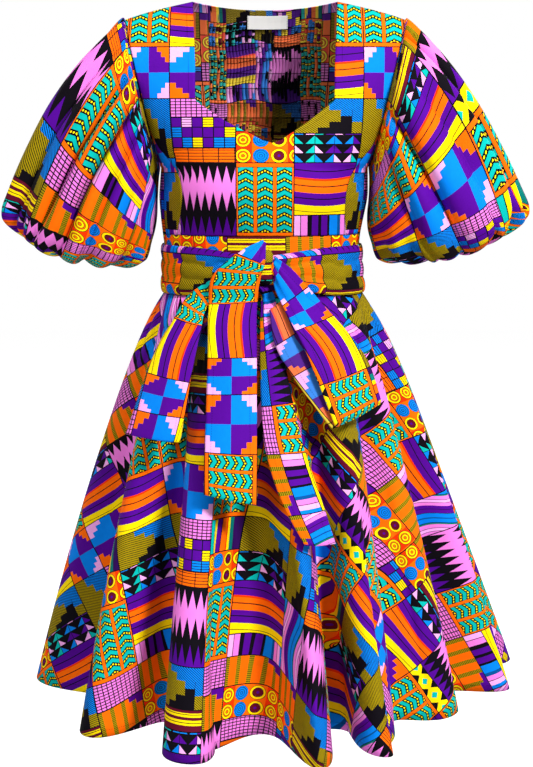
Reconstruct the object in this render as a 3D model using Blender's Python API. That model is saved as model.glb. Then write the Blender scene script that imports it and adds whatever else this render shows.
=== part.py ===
"""Ankara wax print dress, worn form, as cloth walls of its cut pieces.

Metres, +Z up, the dress faces -Y and its left side is at +X. The origin is at the
height of the neck sides, midway between the shoulders, where the wearer holds it.
Each piece is a wall lofted between an outer and an inner face, both worked out from
the short tables of sections below.
"""

import math

import bmesh
import bpy
from mathutils import Vector

NAME = "ankara_wax_print_dress"

# Cloth and seams
CLOTH = 0.002
SEAM_GAP = 0.0003
ARMHOLE_GAP = 0.0006
LABEL_THICKNESS = 0.001

# Heights of the cut
SHOULDER_TIP_Z = -0.023
UNDERARM_Z = -0.233
WAIST_SEAM_Z = -0.326
SKIRT_SEAM_Z = -0.411
HEM_Z = -0.985

# Half sizes
SHOULDER_TIP_X = 0.1985
UNDERARM_X = 0.149
NECK_SIDE_X = 0.103
ARMHOLE_FRONT = 0.062
ARMHOLE_BACK = 0.058
SMOCK_HALF_WIDTH = 0.083
BACK_NECK_MIDDLE_Z = -0.0055
BACK_NECK_DROP = 0.0075
BACK_NECK_DEPTH = 0.060
BACK_NECK_ROUNDNESS = 2.2
SHOULDER_TURN = 60.0

# Torso sections: height, half width, middle
TORSO = {
    "z": (-0.200, -0.233, -0.270, -0.300, -0.326, -0.345, -0.380, -0.411, -0.450),
    "half": (0.1500, 0.1490, 0.1504, 0.1470, 0.1430, 0.1412, 0.1420, 0.1440, 0.1450),
    "front": (0.1130, 0.1200, 0.1230, 0.1140, 0.1040, 0.1030, 0.1035, 0.1050, 0.1060),
    "back": (0.1120, 0.1090, 0.1020, 0.0950, 0.0920, 0.0920, 0.0930, 0.0950, 0.0960),
    "mid": (0.0000, -0.0010, -0.0023, -0.0040, -0.0052, -0.0048, -0.0040, -0.0030, -0.0025),
}

# Front bodice, waist seam to shoulder: height at the middle or neck edge, distance of the
# neck edge from the middle, height at the side or armhole, depth, lean of the middle
FRONT_LEVELS = {
    "in_z": (-0.326, -0.300, -0.270, -0.228, -0.197, -0.1935, -0.168, -0.1390, -0.092, -0.045, -0.015, 0.0020),
    "neck": (0.0, 0.0, 0.0, 0.0, 0.0, 0.012, 0.056, 0.0965, 0.0970, 0.0995, 0.1015, 0.1030),
    "out_z": (-0.326, -0.300, -0.270, -0.233, -0.215, -0.209, -0.182, -0.150, -0.106, -0.062, -0.036, -0.023),
    "depth": (0.1040, 0.1140, 0.1230, 0.1200, 0.1120, 0.1110, 0.1030, 0.0920, 0.0730, 0.0450, 0.0190, 0.0),
    "lean": (0.0, 0.002, 0.005, 0.008, 0.0095, 0.009, 0.003, 0.0, 0.0, 0.0, 0.0, 0.0),
}
FRONT_STEPS = 2
FRONT_ROWS = (len(FRONT_LEVELS["in_z"]) - 1) * FRONT_STEPS
FRONT_COLUMNS = 6
JOINED_ROWS = 4 * FRONT_STEPS
SIDE_FRONT_COLUMNS = 3
SIDE_FRONT_ROWS = 6 * FRONT_STEPS

# Fullness over each bust point: forward, degrees from the middle, and height, with spreads
BUST_FULLNESS = 0.006
BUST_DEG = 33.0
BUST_SPREAD_DEG = 20.0
BUST_Z = -0.256
BUST_SPREAD_Z = 0.042

# Back bodice, waist seam to neck and shoulder: height at the middle, height at the side
# or armhole, depth, share of the turn over the shoulder
BACK_LEVELS = {
    "in_z": (-0.326, -0.300, -0.270, -0.228, -0.190, -0.150, -0.105, -0.062, -0.033, -0.0055),
    "out_z": (-0.326, -0.300, -0.270, -0.233, -0.198, -0.154, -0.108, -0.068, -0.041, -0.023),
    "depth": (0.0920, 0.0950, 0.1020, 0.1090, 0.1120, 0.1080, 0.0990, 0.0850, 0.0740, 0.0600),
    "turn": (0.0, 0.0, 0.0, 0.0, 0.0, 0.0, 0.03, 0.22, 0.58, 1.0),
}
BACK_ROWS = 16
SMOCK_COLUMNS = 8
SMOCK_PITCH = 0.0216
SMOCK_TOP_Z = -0.030
SMOCK_RISE = 0.0032

# Princess seams: height and angle round the front from the middle
PRINCESS = {
    "z": (-0.340, -0.326, -0.300, -0.268, -0.245, -0.229, -0.209, -0.182),
    "deg": (57.0, 56.5, 52.0, 49.5, 53.5, 60.5, 71.5, 82.0),
}

# Sleeve rings on the wearer's left, armhole to gathered edge: outer point and inner
# point seen from the front, depths, and how far the ring hangs between them
SLEEVE_RINGS = {
    "out_x": (0.1985, 0.2060, 0.2340, 0.2690, 0.3060, 0.3390, 0.3650, 0.3760, 0.3700, 0.3360, 0.3147),
    "out_z": (-0.023, -0.0215, -0.0483, -0.0880, -0.1416, -0.2026, -0.2584, -0.2880, -0.3060, -0.3270, -0.3080),
    "in_x": (0.1500, 0.1518, 0.1525, 0.1520, 0.1545, 0.1600, 0.1660, 0.1755, 0.1960, 0.2150, 0.2282),
    "in_z": (-0.2335, -0.2480, -0.2742, -0.3001, -0.3220, -0.3400, -0.3530, -0.3620, -0.3670, -0.3600, -0.3420),
    "front": (0.062, 0.0840, 0.1010, 0.1110, 0.1150, 0.1140, 0.1080, 0.0990, 0.0840, 0.0600, 0.0480),
    "back": (0.058, 0.0790, 0.0940, 0.1030, 0.1070, 0.1060, 0.1010, 0.0930, 0.0800, 0.0580, 0.0460),
    "sag": (0.0, 0.0, 0.002, 0.004, 0.006, 0.009, 0.012, 0.015, 0.016, 0.012, 0.006),
    "head": (0.0, 0.0035, 0.0035, 0.0015, 0.0, 0.0, 0.0, 0.0, 0.0, 0.0, 0.0),
    "folds": (0.0, 0.0020, 0.0050, 0.0070, 0.0080, 0.0070, 0.0050, 0.0030, 0.0, 0.0, 0.0),
    "lumps": (0.0, 0.0, 0.0, 0.0, 0.0, 0.0015, 0.0045, 0.0075, 0.0085, 0.0055, 0.0030),
}
SLEEVE_COLUMNS = 40
SLEEVE_ROWS = 11
SLEEVE_FULLEST = 0.45
SLEEVE_SHIFT = 0.002
RIGHT_SLEEVE_DROP = 0.008
RING_SLANT = 0.16
RING_SHIVER = 0.09
HEAD_GATHERS = 10
LONG_FOLDS = 7
HEM_LUMPS = 10

# Waistband and skirt
BAND_COLUMNS = 24
BAND_ROWS = 4
SKIRT_ROWS = 9
SKIRT_ROW_CROWDING = 1.35
SKIRT_FRONT_COLUMNS = 68
SKIRT_BACK_COLUMNS = 56
SKIRT_SPRING = 0.09
SKIRT_SPRING_LENGTH = 0.08
HEM_HALF_WIDTH = 0.352
HEM_HALF_DEPTH = 0.350
HEM_MID_X = 0.008

# Flutes at the hem, round from the right side over the front: degrees from the front
# middle and reach beside the hem's half sizes, for each crest and the valley after it
FLUTES = {
    "crest_from": (-100.0, -46.0, -23.5, 5.5, 19.0, 45.0, 73.0, 97.0, 124.0, 151.0, 176.0, 203.0, 231.0),
    "crest_to": (-80.0, -37.0, -9.5, 12.5, 28.0, 58.0, 81.0, 108.0, 133.0, 162.0, 186.0, 215.0, 241.0),
    "crest": (1.036, 1.080, 1.150, 1.170, 1.120, 0.930, 1.030, 1.105, 1.000, 1.050, 1.000, 1.040, 1.000),
    "valley_from": (-67.0, -34.5, -8.0, 16.5, 36.0, 65.0, 88.0, 114.0, 141.0, 167.0, 192.0, 221.0, 246.0),
    "valley_to": (-60.0, -29.0, 3.5, 20.0, 40.0, 71.0, 91.0, 119.0, 146.0, 172.0, 197.0, 226.0, 251.0),
    "valley": (0.780, 0.740, 0.760, 0.740, 0.780, 0.760, 0.860, 0.800, 0.780, 0.760, 0.780, 0.760, 0.800),
}

# Sash wound over the waistband, from one side of the knot round the back to the other
SASH_TOP_Z = -0.341
SASH_LOW_Z = -0.4105
SASH_KNOT_TOP_Z = -0.352
SASH_KNOT_LOW_Z = -0.392
SASH_START_DEG = -1.0
SASH_END_DEG = 356.0
SASH_FOLD = 0.0028
SASH_FOLDS = 3
SASH_PINCH_DEG = 26.0
SASH_STAND_OFF = 3 * SEAM_GAP
SASH_BACK_GAP = 0.0001
SASH_COLUMNS = 48
SASH_ROWS = 6

# Knot under the bow: half sizes and middle
KNOT_HALF = (0.022, 0.0125, 0.026)
KNOT_MIDDLE = (-0.0095, -0.1215, -0.367)
KNOT_BACK_Y = -0.1092

# Bow strips, each a row of stations: left edge, right edge, and the distance that the
# strip stands off the skirt's crests
TAIL_CENTRE = {
    "lx": (-0.003, -0.033, -0.073, -0.078, -0.078, -0.079, -0.081, -0.081),
    "lz": (-0.3300, -0.344, -0.379, -0.425, -0.476, -0.540, -0.605, -0.657),
    "rx": (0.0005, 0.000, -0.006, -0.011, -0.011, -0.011, -0.010, -0.010),
    "rz": (-0.3330, -0.359, -0.381, -0.421, -0.474, -0.538, -0.606, -0.668),
    "lift": (0.0170, 0.0306, 0.0326, 0.0310, 0.0260, 0.0190, 0.0145, 0.0120),
}
TAIL_RIGHT = {
    "lx": (-0.0130, -0.006, -0.007, -0.007, -0.005, 0.001, 0.022, 0.052),
    "lz": (-0.3897, -0.408, -0.445, -0.496, -0.552, -0.605, -0.666, -0.719),
    "rx": (-0.0060, 0.012, 0.018, 0.026, 0.039, 0.053, 0.073, 0.093),
    "rz": (-0.3906, -0.404, -0.441, -0.487, -0.548, -0.603, -0.659, -0.718),
    "lift": (0.0127, 0.0110, 0.0060, 0.0050, 0.0040, 0.0040, 0.0045, 0.0055),
}
LOOP_LEFT = {
    "lx": (-0.0308, -0.071, -0.107, -0.130, -0.158, -0.187, -0.190, -0.186, -0.164, -0.138, -0.105, -0.050),
    "lz": (-0.3620, -0.383, -0.407, -0.444, -0.496, -0.581, -0.589, -0.580, -0.514, -0.457, -0.425, -0.413),
    "rx": (-0.0303, -0.065, -0.082, -0.088, -0.099, -0.113, -0.116, -0.112, -0.104, -0.092, -0.078, -0.044),
    "rz": (-0.3820, -0.408, -0.426, -0.451, -0.505, -0.585, -0.593, -0.585, -0.523, -0.466, -0.445, -0.433),
    "lift": (0.0177, 0.0200, 0.0240, 0.0260, 0.0250, 0.0180, 0.0125, 0.0080, 0.0070, 0.0070, 0.0070, 0.0090),
}
LOOP_RIGHT = {
    "lx": (0.0119, 0.015, 0.034, 0.053, 0.070, 0.090, 0.093, 0.085, 0.042, 0.014, 0.006),
    "lz": (-0.3800, -0.400, -0.436, -0.471, -0.512, -0.562, -0.573, -0.571, -0.516, -0.470, -0.425),
    "rx": (0.0125, 0.038, 0.079, 0.114, 0.141, 0.156, 0.158, 0.149, 0.102, 0.062, 0.027),
    "rz": (-0.3520, -0.370, -0.416, -0.454, -0.492, -0.536, -0.547, -0.544, -0.485, -0.441, -0.410),
    "lift": (0.0173, 0.0290, 0.0350, 0.0360, 0.0320, 0.0240, 0.0170, 0.0140, 0.0150, 0.0160, 0.0175),
}
STRIP_CROWN = 0.004
STRIP_COLUMNS = 5
STRIP_WRAP = 0.7
SIDE_CREST = 1.08

# Neck label on the inside of the back, left blank
LABEL_LEFT = -0.0265
LABEL_RIGHT = 0.0335
LABEL_TOP_DROP = 0.0070
LABEL_HEIGHT = 0.0185

# Finishes: base colour and roughness
FINISHES = {
    "bodice": ((0.30, 0.07, 0.45, 1.0), 0.80),
    "back": ((0.42, 0.12, 0.38, 1.0), 0.82),
    "band": ((0.20, 0.05, 0.35, 1.0), 0.80),
    "skirt": ((0.75, 0.28, 0.10, 1.0), 0.80),
    "sleeve": ((0.10, 0.35, 0.60, 1.0), 0.80),
    "sash": ((0.85, 0.40, 0.06, 1.0), 0.78),
    "label": ((0.85, 0.83, 0.80, 1.0), 0.45),
}


def clear_scene():
    """Take away the objects that a new file starts with."""
    for found in list(bpy.data.objects):
        bpy.data.objects.remove(found, do_unlink=True)


def make_finish(name):
    """Principled material for one of the finishes."""
    colour, roughness = FINISHES[name]
    finish = bpy.data.materials.new(name)
    finish.use_nodes = True
    shader = finish.node_tree.nodes["Principled BSDF"]
    shader.inputs["Base Color"].default_value = colour
    shader.inputs["Roughness"].default_value = roughness
    shader.inputs["Metallic"].default_value = 0.0
    finish.diffuse_color = colour
    return finish


def mix(low, high, share):
    """Value between two others."""
    return low + (high - low) * share


def straight(knots, values, at):
    """Value at a place along a table, straight between its rows."""
    last = len(knots) - 2
    step = max(i for i in range(last + 1) if i == 0 or knots[i] <= at)
    share = (at - knots[step]) / (knots[step + 1] - knots[step])
    return mix(values[step], values[step + 1], share)


def smooth(knots, values, at):
    """Value at a place along a table, on a smooth curve through its rows."""
    last = len(knots) - 1
    at = min(max(at, knots[0]), knots[last])
    step = max(i for i in range(last) if i == 0 or knots[i] <= at)
    slopes = []
    for i in (step, step + 1):
        low, high = max(i - 1, 0), min(i + 1, last)
        slopes.append((values[high] - values[low]) / (knots[high] - knots[low]))
    span = knots[step + 1] - knots[step]
    t = (at - knots[step]) / span
    start = (1 + 2 * t) * (1 - t) ** 2 * values[step] + t * (1 - t) ** 2 * span * slopes[0]
    end = t * t * (3 - 2 * t) * values[step + 1] + t * t * (t - 1) * span * slopes[1]
    return start + end


def rows_of(table, key, share, curve=smooth):
    """Value of a table's column where its rows count as evenly spaced from 0 to 1."""
    values = table[key]
    return curve(range(len(values)), values, share * (len(values) - 1))


def torso(key, z):
    """Half width, depth or middle of the torso at a height."""
    knots = [-height for height in TORSO["z"]]
    return smooth(knots, TORSO[key], -z)


def side_edge(z, depth):
    """Side of the bodice at a height: the side seam, or the armhole above the underarm."""
    if z <= UNDERARM_Z:
        return torso("half", z), 0.0
    middle_z = (SHOULDER_TIP_Z + UNDERARM_Z) / 2
    half_z = (SHOULDER_TIP_Z - UNDERARM_Z) / 2
    rise = min(max((z - middle_z) / half_z, -1.0), 1.0)
    x = mix(UNDERARM_X, SHOULDER_TIP_X, (rise + 1) / 2)
    return x, depth * math.sqrt(1 - rise * rise)


def turn_at(z):
    """Degrees from the middle at which a level meets its side edge."""
    rise = min(max((z - UNDERARM_Z) / (SHOULDER_TIP_Z - UNDERARM_Z), 0.0), 1.0)
    return mix(90.0, SHOULDER_TURN, rise)


def bust(angle, z):
    """Fullness that the darted cut gives over the bust."""
    round_front = (math.degrees(angle) - BUST_DEG) / BUST_SPREAD_DEG
    upright = (z - BUST_Z) / BUST_SPREAD_Z
    return BUST_FULLNESS * math.exp(-round_front ** 2 - upright ** 2)


def front_point(across, up, side):
    """Point of the front bodice: across from the middle or neck edge to the side."""
    in_z = rows_of(FRONT_LEVELS, "in_z", up, straight)
    out_z = rows_of(FRONT_LEVELS, "out_z", up)
    neck = rows_of(FRONT_LEVELS, "neck", up, straight)
    depth = rows_of(FRONT_LEVELS, "depth", up)
    side_x, side_y = side_edge(out_z, ARMHOLE_FRONT)
    turn = math.radians(turn_at(out_z))
    start = math.asin(neck / side_x * math.sin(turn))
    angle = mix(start, turn, across)
    z = mix(in_z, out_z, across)
    x = side * side_x * math.sin(angle) / math.sin(turn)
    x += rows_of(FRONT_LEVELS, "lean", up) * (1 - across) ** 2 + torso("mid", z)
    y = -depth + (depth - side_y) * (1 - math.cos(angle)) / (1 - math.cos(turn))
    return Vector((x, y - bust(angle, z), z))


def princess_share(up):
    """Share of the way across at which the princess seam runs, up to the armhole."""
    if up * FRONT_ROWS > SIDE_FRONT_ROWS + 0.1:
        return 1.0
    out_z = rows_of(FRONT_LEVELS, "out_z", up)
    return smooth(PRINCESS["z"], PRINCESS["deg"], out_z) / turn_at(out_z)


def back_top(x):
    """Top edge of the back at a distance from the middle: the neck, then the shoulder."""
    if x <= NECK_SIDE_X:
        share = (x / NECK_SIDE_X) ** BACK_NECK_ROUNDNESS
        z = BACK_NECK_MIDDLE_Z + BACK_NECK_DROP * share
        return Vector((x, BACK_NECK_DEPTH * (1 - share), z))
    share = (x - NECK_SIDE_X) / (SHOULDER_TIP_X - NECK_SIDE_X)
    return Vector((x, 0.0, mix(BACK_NECK_MIDDLE_Z + BACK_NECK_DROP, SHOULDER_TIP_Z, share)))


def smock_share(up):
    """Share of the way across at which the smocked panel ends."""
    out_z = rows_of(BACK_LEVELS, "out_z", up)
    side_x, _ = side_edge(out_z, ARMHOLE_BACK)
    turn = math.radians(turn_at(out_z))
    return math.asin(SMOCK_HALF_WIDTH / side_x * math.sin(turn)) / turn


def back_point(across, up, side):
    """Point of the back bodice: across from the middle to the side."""
    in_z = rows_of(BACK_LEVELS, "in_z", up)
    out_z = rows_of(BACK_LEVELS, "out_z", up)
    depth = rows_of(BACK_LEVELS, "depth", up)
    side_x, side_y = side_edge(out_z, ARMHOLE_BACK)
    turn = math.radians(turn_at(out_z))
    angle = turn * across
    z = mix(in_z, out_z, across)
    x = side_x * math.sin(angle) / math.sin(turn)
    y = depth - (depth - side_y) * (1 - math.cos(angle)) / (1 - math.cos(turn))
    point = Vector((x, y, z))
    share = smock_share(up)
    if across <= share:
        top_x = SMOCK_HALF_WIDTH * across / share
    else:
        beyond = (across - share) / (1 - share)
        knots, places = (0.0, 0.2, 1.0), (SMOCK_HALF_WIDTH, NECK_SIDE_X, SHOULDER_TIP_X)
        top_x = straight(knots, places, beyond)
    point = point.lerp(back_top(top_x), min(max(rows_of(BACK_LEVELS, "turn", up), 0.0), 1.0))
    return Vector((side * point.x + torso("mid", point.z), point.y, point.z))


def smock_rise(across, z):
    """Height of the puffs between the elastic rows of the smocked panel."""
    if z > SMOCK_TOP_Z:
        return 0.0
    puff = abs(math.sin(math.pi * (z - SMOCK_TOP_Z) / SMOCK_PITCH))
    return SMOCK_RISE * puff ** 0.7


def normal_at(place, u, v):
    """Direction square to a surface at a share of its two ways, and its point there."""
    step = 0.004
    along_u = place(min(u + step, 1.0), v) - place(max(u - step, 0.0), v)
    along_v = place(u, min(v + step, 1.0)) - place(u, max(v - step, 0.0))
    return place(u, v), along_u.cross(along_v).normalized()


def wall_between(place, thickness, facing, rise=None, level_top=False, level_sides=False):
    """Outer and inner point of a wall of cloth under a surface, its outer face.

    A rise adds relief to the outer points alone. level_top and level_sides keep the
    thickness of the top edge or the side edges in the plane of the seam there.
    """

    def pair(u, v):
        point, normal = normal_at(place, u, v)
        if normal.dot(facing(point)) < 0:
            normal = -normal
        if (level_top and v > 0.999) or (level_sides and abs(u - 0.5) > 0.499):
            normal = Vector((normal.x, 0.0, normal.z)).normalized()
        relief = rise(u, point.z) if rise else 0.0
        return point + normal * relief, point - normal * thickness

    return pair


def lattice(place, columns, rows):
    """The same surface drawn straight between the points of a lattice on it."""
    knots = [[place(i / columns, j / rows) for i in range(columns + 1)] for j in range(rows + 1)]

    def drawn(u, v):
        i = min(int(u * columns), columns - 1)
        j = min(int(v * rows), rows - 1)
        low = knots[j][i].lerp(knots[j][i + 1], u * columns - i)
        high = knots[j + 1][i].lerp(knots[j + 1][i + 1], u * columns - i)
        return low.lerp(high, v * rows - j)

    return drawn


def cloth_wall(name, pair, columns, rows, closed=False, u_stops=None):
    """Mesh object of a wall: two mapped grids and the rim between their edges.

    A closed wall's first and last columns are welded into a tube.
    """
    shape = bmesh.new()
    layers = mapped_layers(shape, pair, columns, rows, closed, u_stops)
    if closed:
        weld = {row[columns]: row[0] for layer in layers for row in layer}
        bmesh.ops.weld_verts(shape, targetmap=weld)
    partner = {}
    for outer_row, inner_row in zip(*layers):
        for i in range(columns if closed else columns + 1):
            partner[outer_row[i]] = inner_row[i]
    close_rim(shape, partner)
    return add_mesh(name, shape)


def mapped_layers(shape, pair, columns, rows, closed=False, u_stops=None):
    """Outer and inner grid of a wall, mapped to its points and drawn in at its edges."""
    layers = []
    for _ in range(2):
        grid = bmesh.ops.create_grid(shape, x_segments=columns, y_segments=rows, size=0.5)
        verts = sorted(grid["verts"], key=lambda vert: (round(vert.co.y, 5), vert.co.x))
        layers.append([verts[i * (columns + 1):(i + 1) * (columns + 1)] for i in range(rows + 1)])
    for j in range(rows + 1):
        for i in range(columns + 1):
            u = u_stops[i] if u_stops else i / columns
            layers[0][j][i].co, layers[1][j][i].co = pair(u, j / rows)
    for layer in layers:
        draw_in(layer, closed)
    return layers


def draw_in(layer, closed):
    """Move the open edges of a grid square to themselves by half the seam gap."""
    borders = [(layer[0], layer[1]), (layer[-1], layer[-2])]
    if not closed:
        borders.append(([row[0] for row in layer], [row[1] for row in layer]))
        borders.append(([row[-1] for row in layer], [row[-2] for row in layer]))
    moves = []
    for border, inside in borders:
        for k, vert in enumerate(border):
            tangent = border[min(k + 1, len(border) - 1)].co - border[max(k - 1, 0)].co
            pull = inside[k].co - vert.co
            pull -= pull.project(tangent)
            moves.append((vert, pull.normalized() * SEAM_GAP / 2))
    for vert, move in moves:
        vert.co += move


def close_rim(shape, partner):
    """Faces between the open edges of the outer grid and the inner one."""
    for edge in [edge for edge in shape.edges if len(edge.link_faces) == 1]:
        a, b = edge.verts
        if a in partner and b in partner:
            shape.faces.new((a, b, partner[b], partner[a]))
    bmesh.ops.recalc_face_normals(shape, faces=shape.faces)


def add_mesh(name, shape):
    """Object of a finished shape, in the dress's collection."""
    mesh = bpy.data.meshes.new(name)
    shape.to_mesh(mesh)
    shape.free()
    mesh.shade_smooth()
    made = bpy.data.objects.new(name, mesh)
    bpy.data.collections[NAME].objects.link(made)
    return made


def dress_in(made, finish):
    """Give a piece its material."""
    made.data.materials.append(finish)


def from_axis(point):
    """Direction away from the upright line through the middle of the dress."""
    return Vector((point.x, point.y, 0.0))


def make_front(finish):
    """Front bodice between the princess seams, and the two side fronts."""
    dress_in(front_halves(), finish)
    for name, side in (("bodice_side_front_left", 1), ("bodice_side_front_right", -1)):

        def side_front(u, v, side=side):
            up = v * SIDE_FRONT_ROWS / FRONT_ROWS
            return front_point(mix(princess_share(up), 1.0, u), up, side)

        pair = wall_between(side_front, CLOTH, from_axis)
        dress_in(cloth_wall(name, pair, SIDE_FRONT_COLUMNS, SIDE_FRONT_ROWS), finish)


def front_halves():
    """The centre front: two mapped halves, joined along the middle below the neck."""
    shape = bmesh.new()
    partner = {}
    sides = []
    for side in (1, -1):

        def half(u, v, side=side):
            return front_point(u * princess_share(v), v, side)

        pair = wall_between(half, CLOTH, from_axis, level_top=True)
        layers = mapped_layers(shape, pair, FRONT_COLUMNS, FRONT_ROWS)
        sides.append(layers)
        for outer_row, inner_row in zip(*layers):
            partner.update(zip(outer_row, inner_row))
    weld = {}
    for left_layer, right_layer in zip(*sides):
        for left_row, right_row in zip(left_layer[:JOINED_ROWS + 1], right_layer):
            kept, merged = left_row[0], right_row[0]
            kept.co = (kept.co + merged.co) / 2
            weld[merged] = kept
            partner.pop(merged, None)
    bmesh.ops.weld_verts(shape, targetmap=weld)
    close_rim(shape, partner)
    return add_mesh("bodice_front", shape)


def make_back(smooth_finish, smock_finish):
    """Smocked centre back and the two smooth side backs."""

    def curved(u, v):
        side = 1 if u >= 0.5 else -1
        return back_point(abs(2 * u - 1) * smock_share(v), v, side)

    smocked = lattice(curved, SMOCK_COLUMNS, BACK_ROWS)

    pair = wall_between(smocked, CLOTH, from_axis, rise=smock_rise)
    dress_in(cloth_wall("bodice_back_smocked", pair, SMOCK_COLUMNS, 3 * BACK_ROWS), smock_finish)
    stops = (0.0, 0.2, 0.47, 0.74, 1.0)
    for name, side in (("bodice_side_back_left", 1), ("bodice_side_back_right", -1)):

        def side_back(u, v, side=side):
            return back_point(mix(smock_share(v), 1.0, u), v, side)

        pair = wall_between(side_back, CLOTH, from_axis, level_top=True)
        dress_in(cloth_wall(name, pair, 4, BACK_ROWS, u_stops=stops), smooth_finish)
    return smocked


def ring_point(degrees, z, stand_off=0.0):
    """Point round the waist at degrees from the front middle."""
    angle = math.radians(degrees)
    depth = torso("front" if math.cos(angle) >= 0 else "back", z) + stand_off
    x = torso("mid", z) + (torso("half", z) + stand_off) * math.sin(angle)
    return Vector((x, -depth * math.cos(angle), z))


def make_waistband(finish):
    """Waistband, front and back."""
    for name, start in (("waistband_front", -90.0), ("waistband_back", 90.0)):

        def band(u, v, start=start):
            return ring_point(start + 180.0 * u, mix(SKIRT_SEAM_Z, WAIST_SEAM_Z, v))

        pair = wall_between(band, CLOTH, from_axis)
        dress_in(cloth_wall(name, pair, BAND_COLUMNS, BAND_ROWS), finish)


def hem_polygon():
    """Corners that the hem's smooth curve follows, as degrees and reach."""
    corners = []
    for row in zip(*FLUTES.values()):
        crest_from, crest_to, crest, valley_from, valley_to, valley = row
        corners += [(crest_from, crest), (crest_to, crest), (valley_from, valley), (valley_to, valley)]
    return corners


def hem_curve(samples=24):
    """Points round the hem and their distance along it, on a smooth closed curve."""
    corners = hem_polygon()
    count = len(corners)
    places = []
    for degrees, reach in corners:
        angle = math.radians(degrees)
        x = HEM_MID_X + HEM_HALF_WIDTH * reach * math.sin(angle)
        places.append(Vector((x, -HEM_HALF_DEPTH * reach * math.cos(angle), HEM_Z)))
    curve = []
    for i in range(count):
        a, b, c, d = (places[(i + k) % count] for k in range(4))
        for s in range(samples):
            t = s / samples
            weights = ((1 - t) ** 3, 3 * t ** 3 - 6 * t * t + 4, 1 + 3 * t + 3 * t * t - 3 * t ** 3, t ** 3)
            point = Vector((0, 0, 0))
            for weight, place in zip(weights, (a, b, c, d)):
                point += place * (weight / 6)
            curve.append(point)
    return curve


def along(curve, count):
    """Points evenly spaced along an open run of points."""
    lengths = [0.0]
    for a, b in zip(curve, curve[1:]):
        lengths.append(lengths[-1] + (b - a).length)
    found = []
    step = 0
    for k in range(count + 1):
        want = lengths[-1] * k / count
        while step < len(curve) - 2 and lengths[step + 1] < want:
            step += 1
        share = (want - lengths[step]) / (lengths[step + 1] - lengths[step])
        found.append(curve[step].lerp(curve[step + 1], share))
    return found


def hem_halves():
    """The hem's curve split where the side seams meet it: front run, back run."""
    curve = hem_curve()
    left = min(range(len(curve)), key=lambda i: seam_distance(curve[i], -1))
    turned = curve[left:] + curve[:left]
    right = min(range(len(turned)), key=lambda i: seam_distance(turned[i], 1))
    return turned[:right + 1], turned[right:] + turned[:1]


def seam_distance(point, side):
    """How far a hem point lies from the side seam on one side."""
    beyond = side * (point.x - HEM_MID_X)
    return abs(point.y) if beyond > 0 else 10.0


def skirt_spread(down):
    """Share of the way from the waist to the hem's reach at a share of the way down."""
    return down + SKIRT_SPRING * (1 - math.exp(-down / SKIRT_SPRING_LENGTH)) * (1 - down ** 3)


def skirt_half(run, start, columns):
    """Surface of half the skirt over its run of the hem."""
    hem = along(run, columns)
    waist = [ring_point(start + 180.0 * i / columns, SKIRT_SEAM_Z) for i in range(columns + 1)]

    def place(u, v):
        at = u * columns
        i = min(int(at), columns - 1)
        low = hem[i].lerp(hem[i + 1], at - i)
        high = waist[i].lerp(waist[i + 1], at - i)
        down = (1 - v) ** SKIRT_ROW_CROWDING
        point = high.lerp(low, skirt_spread(down))
        point.z = mix(SKIRT_SEAM_Z, HEM_Z, down)
        return point

    return place


def make_skirt(finish):
    """Skirt front and back, full and fluted from a smooth waist seam."""
    front, back = hem_halves()
    for name, run, start, columns in (
        ("skirt_front", front, -90.0, SKIRT_FRONT_COLUMNS),
        ("skirt_back", back, 90.0, SKIRT_BACK_COLUMNS),
    ):
        place = skirt_half(run, start, columns)
        pair = wall_between(place, CLOTH, from_axis, level_sides=True)
        dress_in(cloth_wall(name, pair, columns, SKIRT_ROWS), finish)


def sleeve_point(u, v, side, phase):
    """Point of a sleeve: round from the shoulder over the front, and down from the armhole."""
    down = 1 - v
    angle = 2 * math.pi * u
    value = {key: rows_of(SLEEVE_RINGS, key, down) for key in SLEEVE_RINGS}
    drop = RIGHT_SLEEVE_DROP * down * down if side < 0 else 0.0
    outer = Vector((value["out_x"] + side * SLEEVE_SHIFT * down, 0.0, value["out_z"] - drop))
    beside = side * torso("mid", value["in_z"])
    inner = Vector((value["in_x"] + beside, 0.0, value["in_z"] - drop))
    middle = (outer + inner) / 2
    reach = (outer - inner) / 2
    depth = value["front"] if math.sin(angle) >= 0 else value["back"]
    uneven = angle + RING_SLANT * math.sin(2 * angle + phase)
    uneven += RING_SHIVER * math.sin(5 * angle + 2 * phase)
    upper = 0.5 + 0.5 * math.cos(angle)
    swell = value["head"] * upper * math.cos(HEAD_GATHERS * uneven)
    swell += value["folds"] * (0.15 + 0.85 * upper) * math.cos(LONG_FOLDS * uneven + 1.2 * phase + 1.6 * down)
    swell += value["lumps"] * math.cos(HEM_LUMPS * uneven + phase)
    grow = 1.0 + swell / max(reach.length, 0.05)
    across = reach * (math.cos(angle) * grow)
    sag = Vector((reach.z, 0.0, -reach.x)).normalized() * (value["sag"] * math.sin(angle) ** 2)
    if sag.z > 0:
        sag = -sag
    point = middle + across + sag + Vector((0.0, -depth * math.sin(angle) * grow, 0.0))
    return Vector((side * point.x, point.y, point.z))


def make_sleeves(finish):
    """Two puff sleeves, gathered at the head and at the turned-under edge."""
    outward = Vector((UNDERARM_Z - SHOULDER_TIP_Z, 0.0, SHOULDER_TIP_X - UNDERARM_X)).normalized()
    outward = outward if outward.x > 0 else -outward
    for name, side, phase in (("sleeve_left", 1, 0.7), ("sleeve_right", -1, 2.1)):

        def sleeve(u, v, side=side, phase=phase):
            point = sleeve_point(u, v, side, phase)
            clear = outward * ARMHOLE_GAP
            return point + Vector((side * clear.x, 0.0, clear.z))

        pair = sleeve_wall(sleeve)
        dress_in(cloth_wall(name, pair, SLEEVE_COLUMNS, SLEEVE_ROWS, closed=True), finish)


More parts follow.
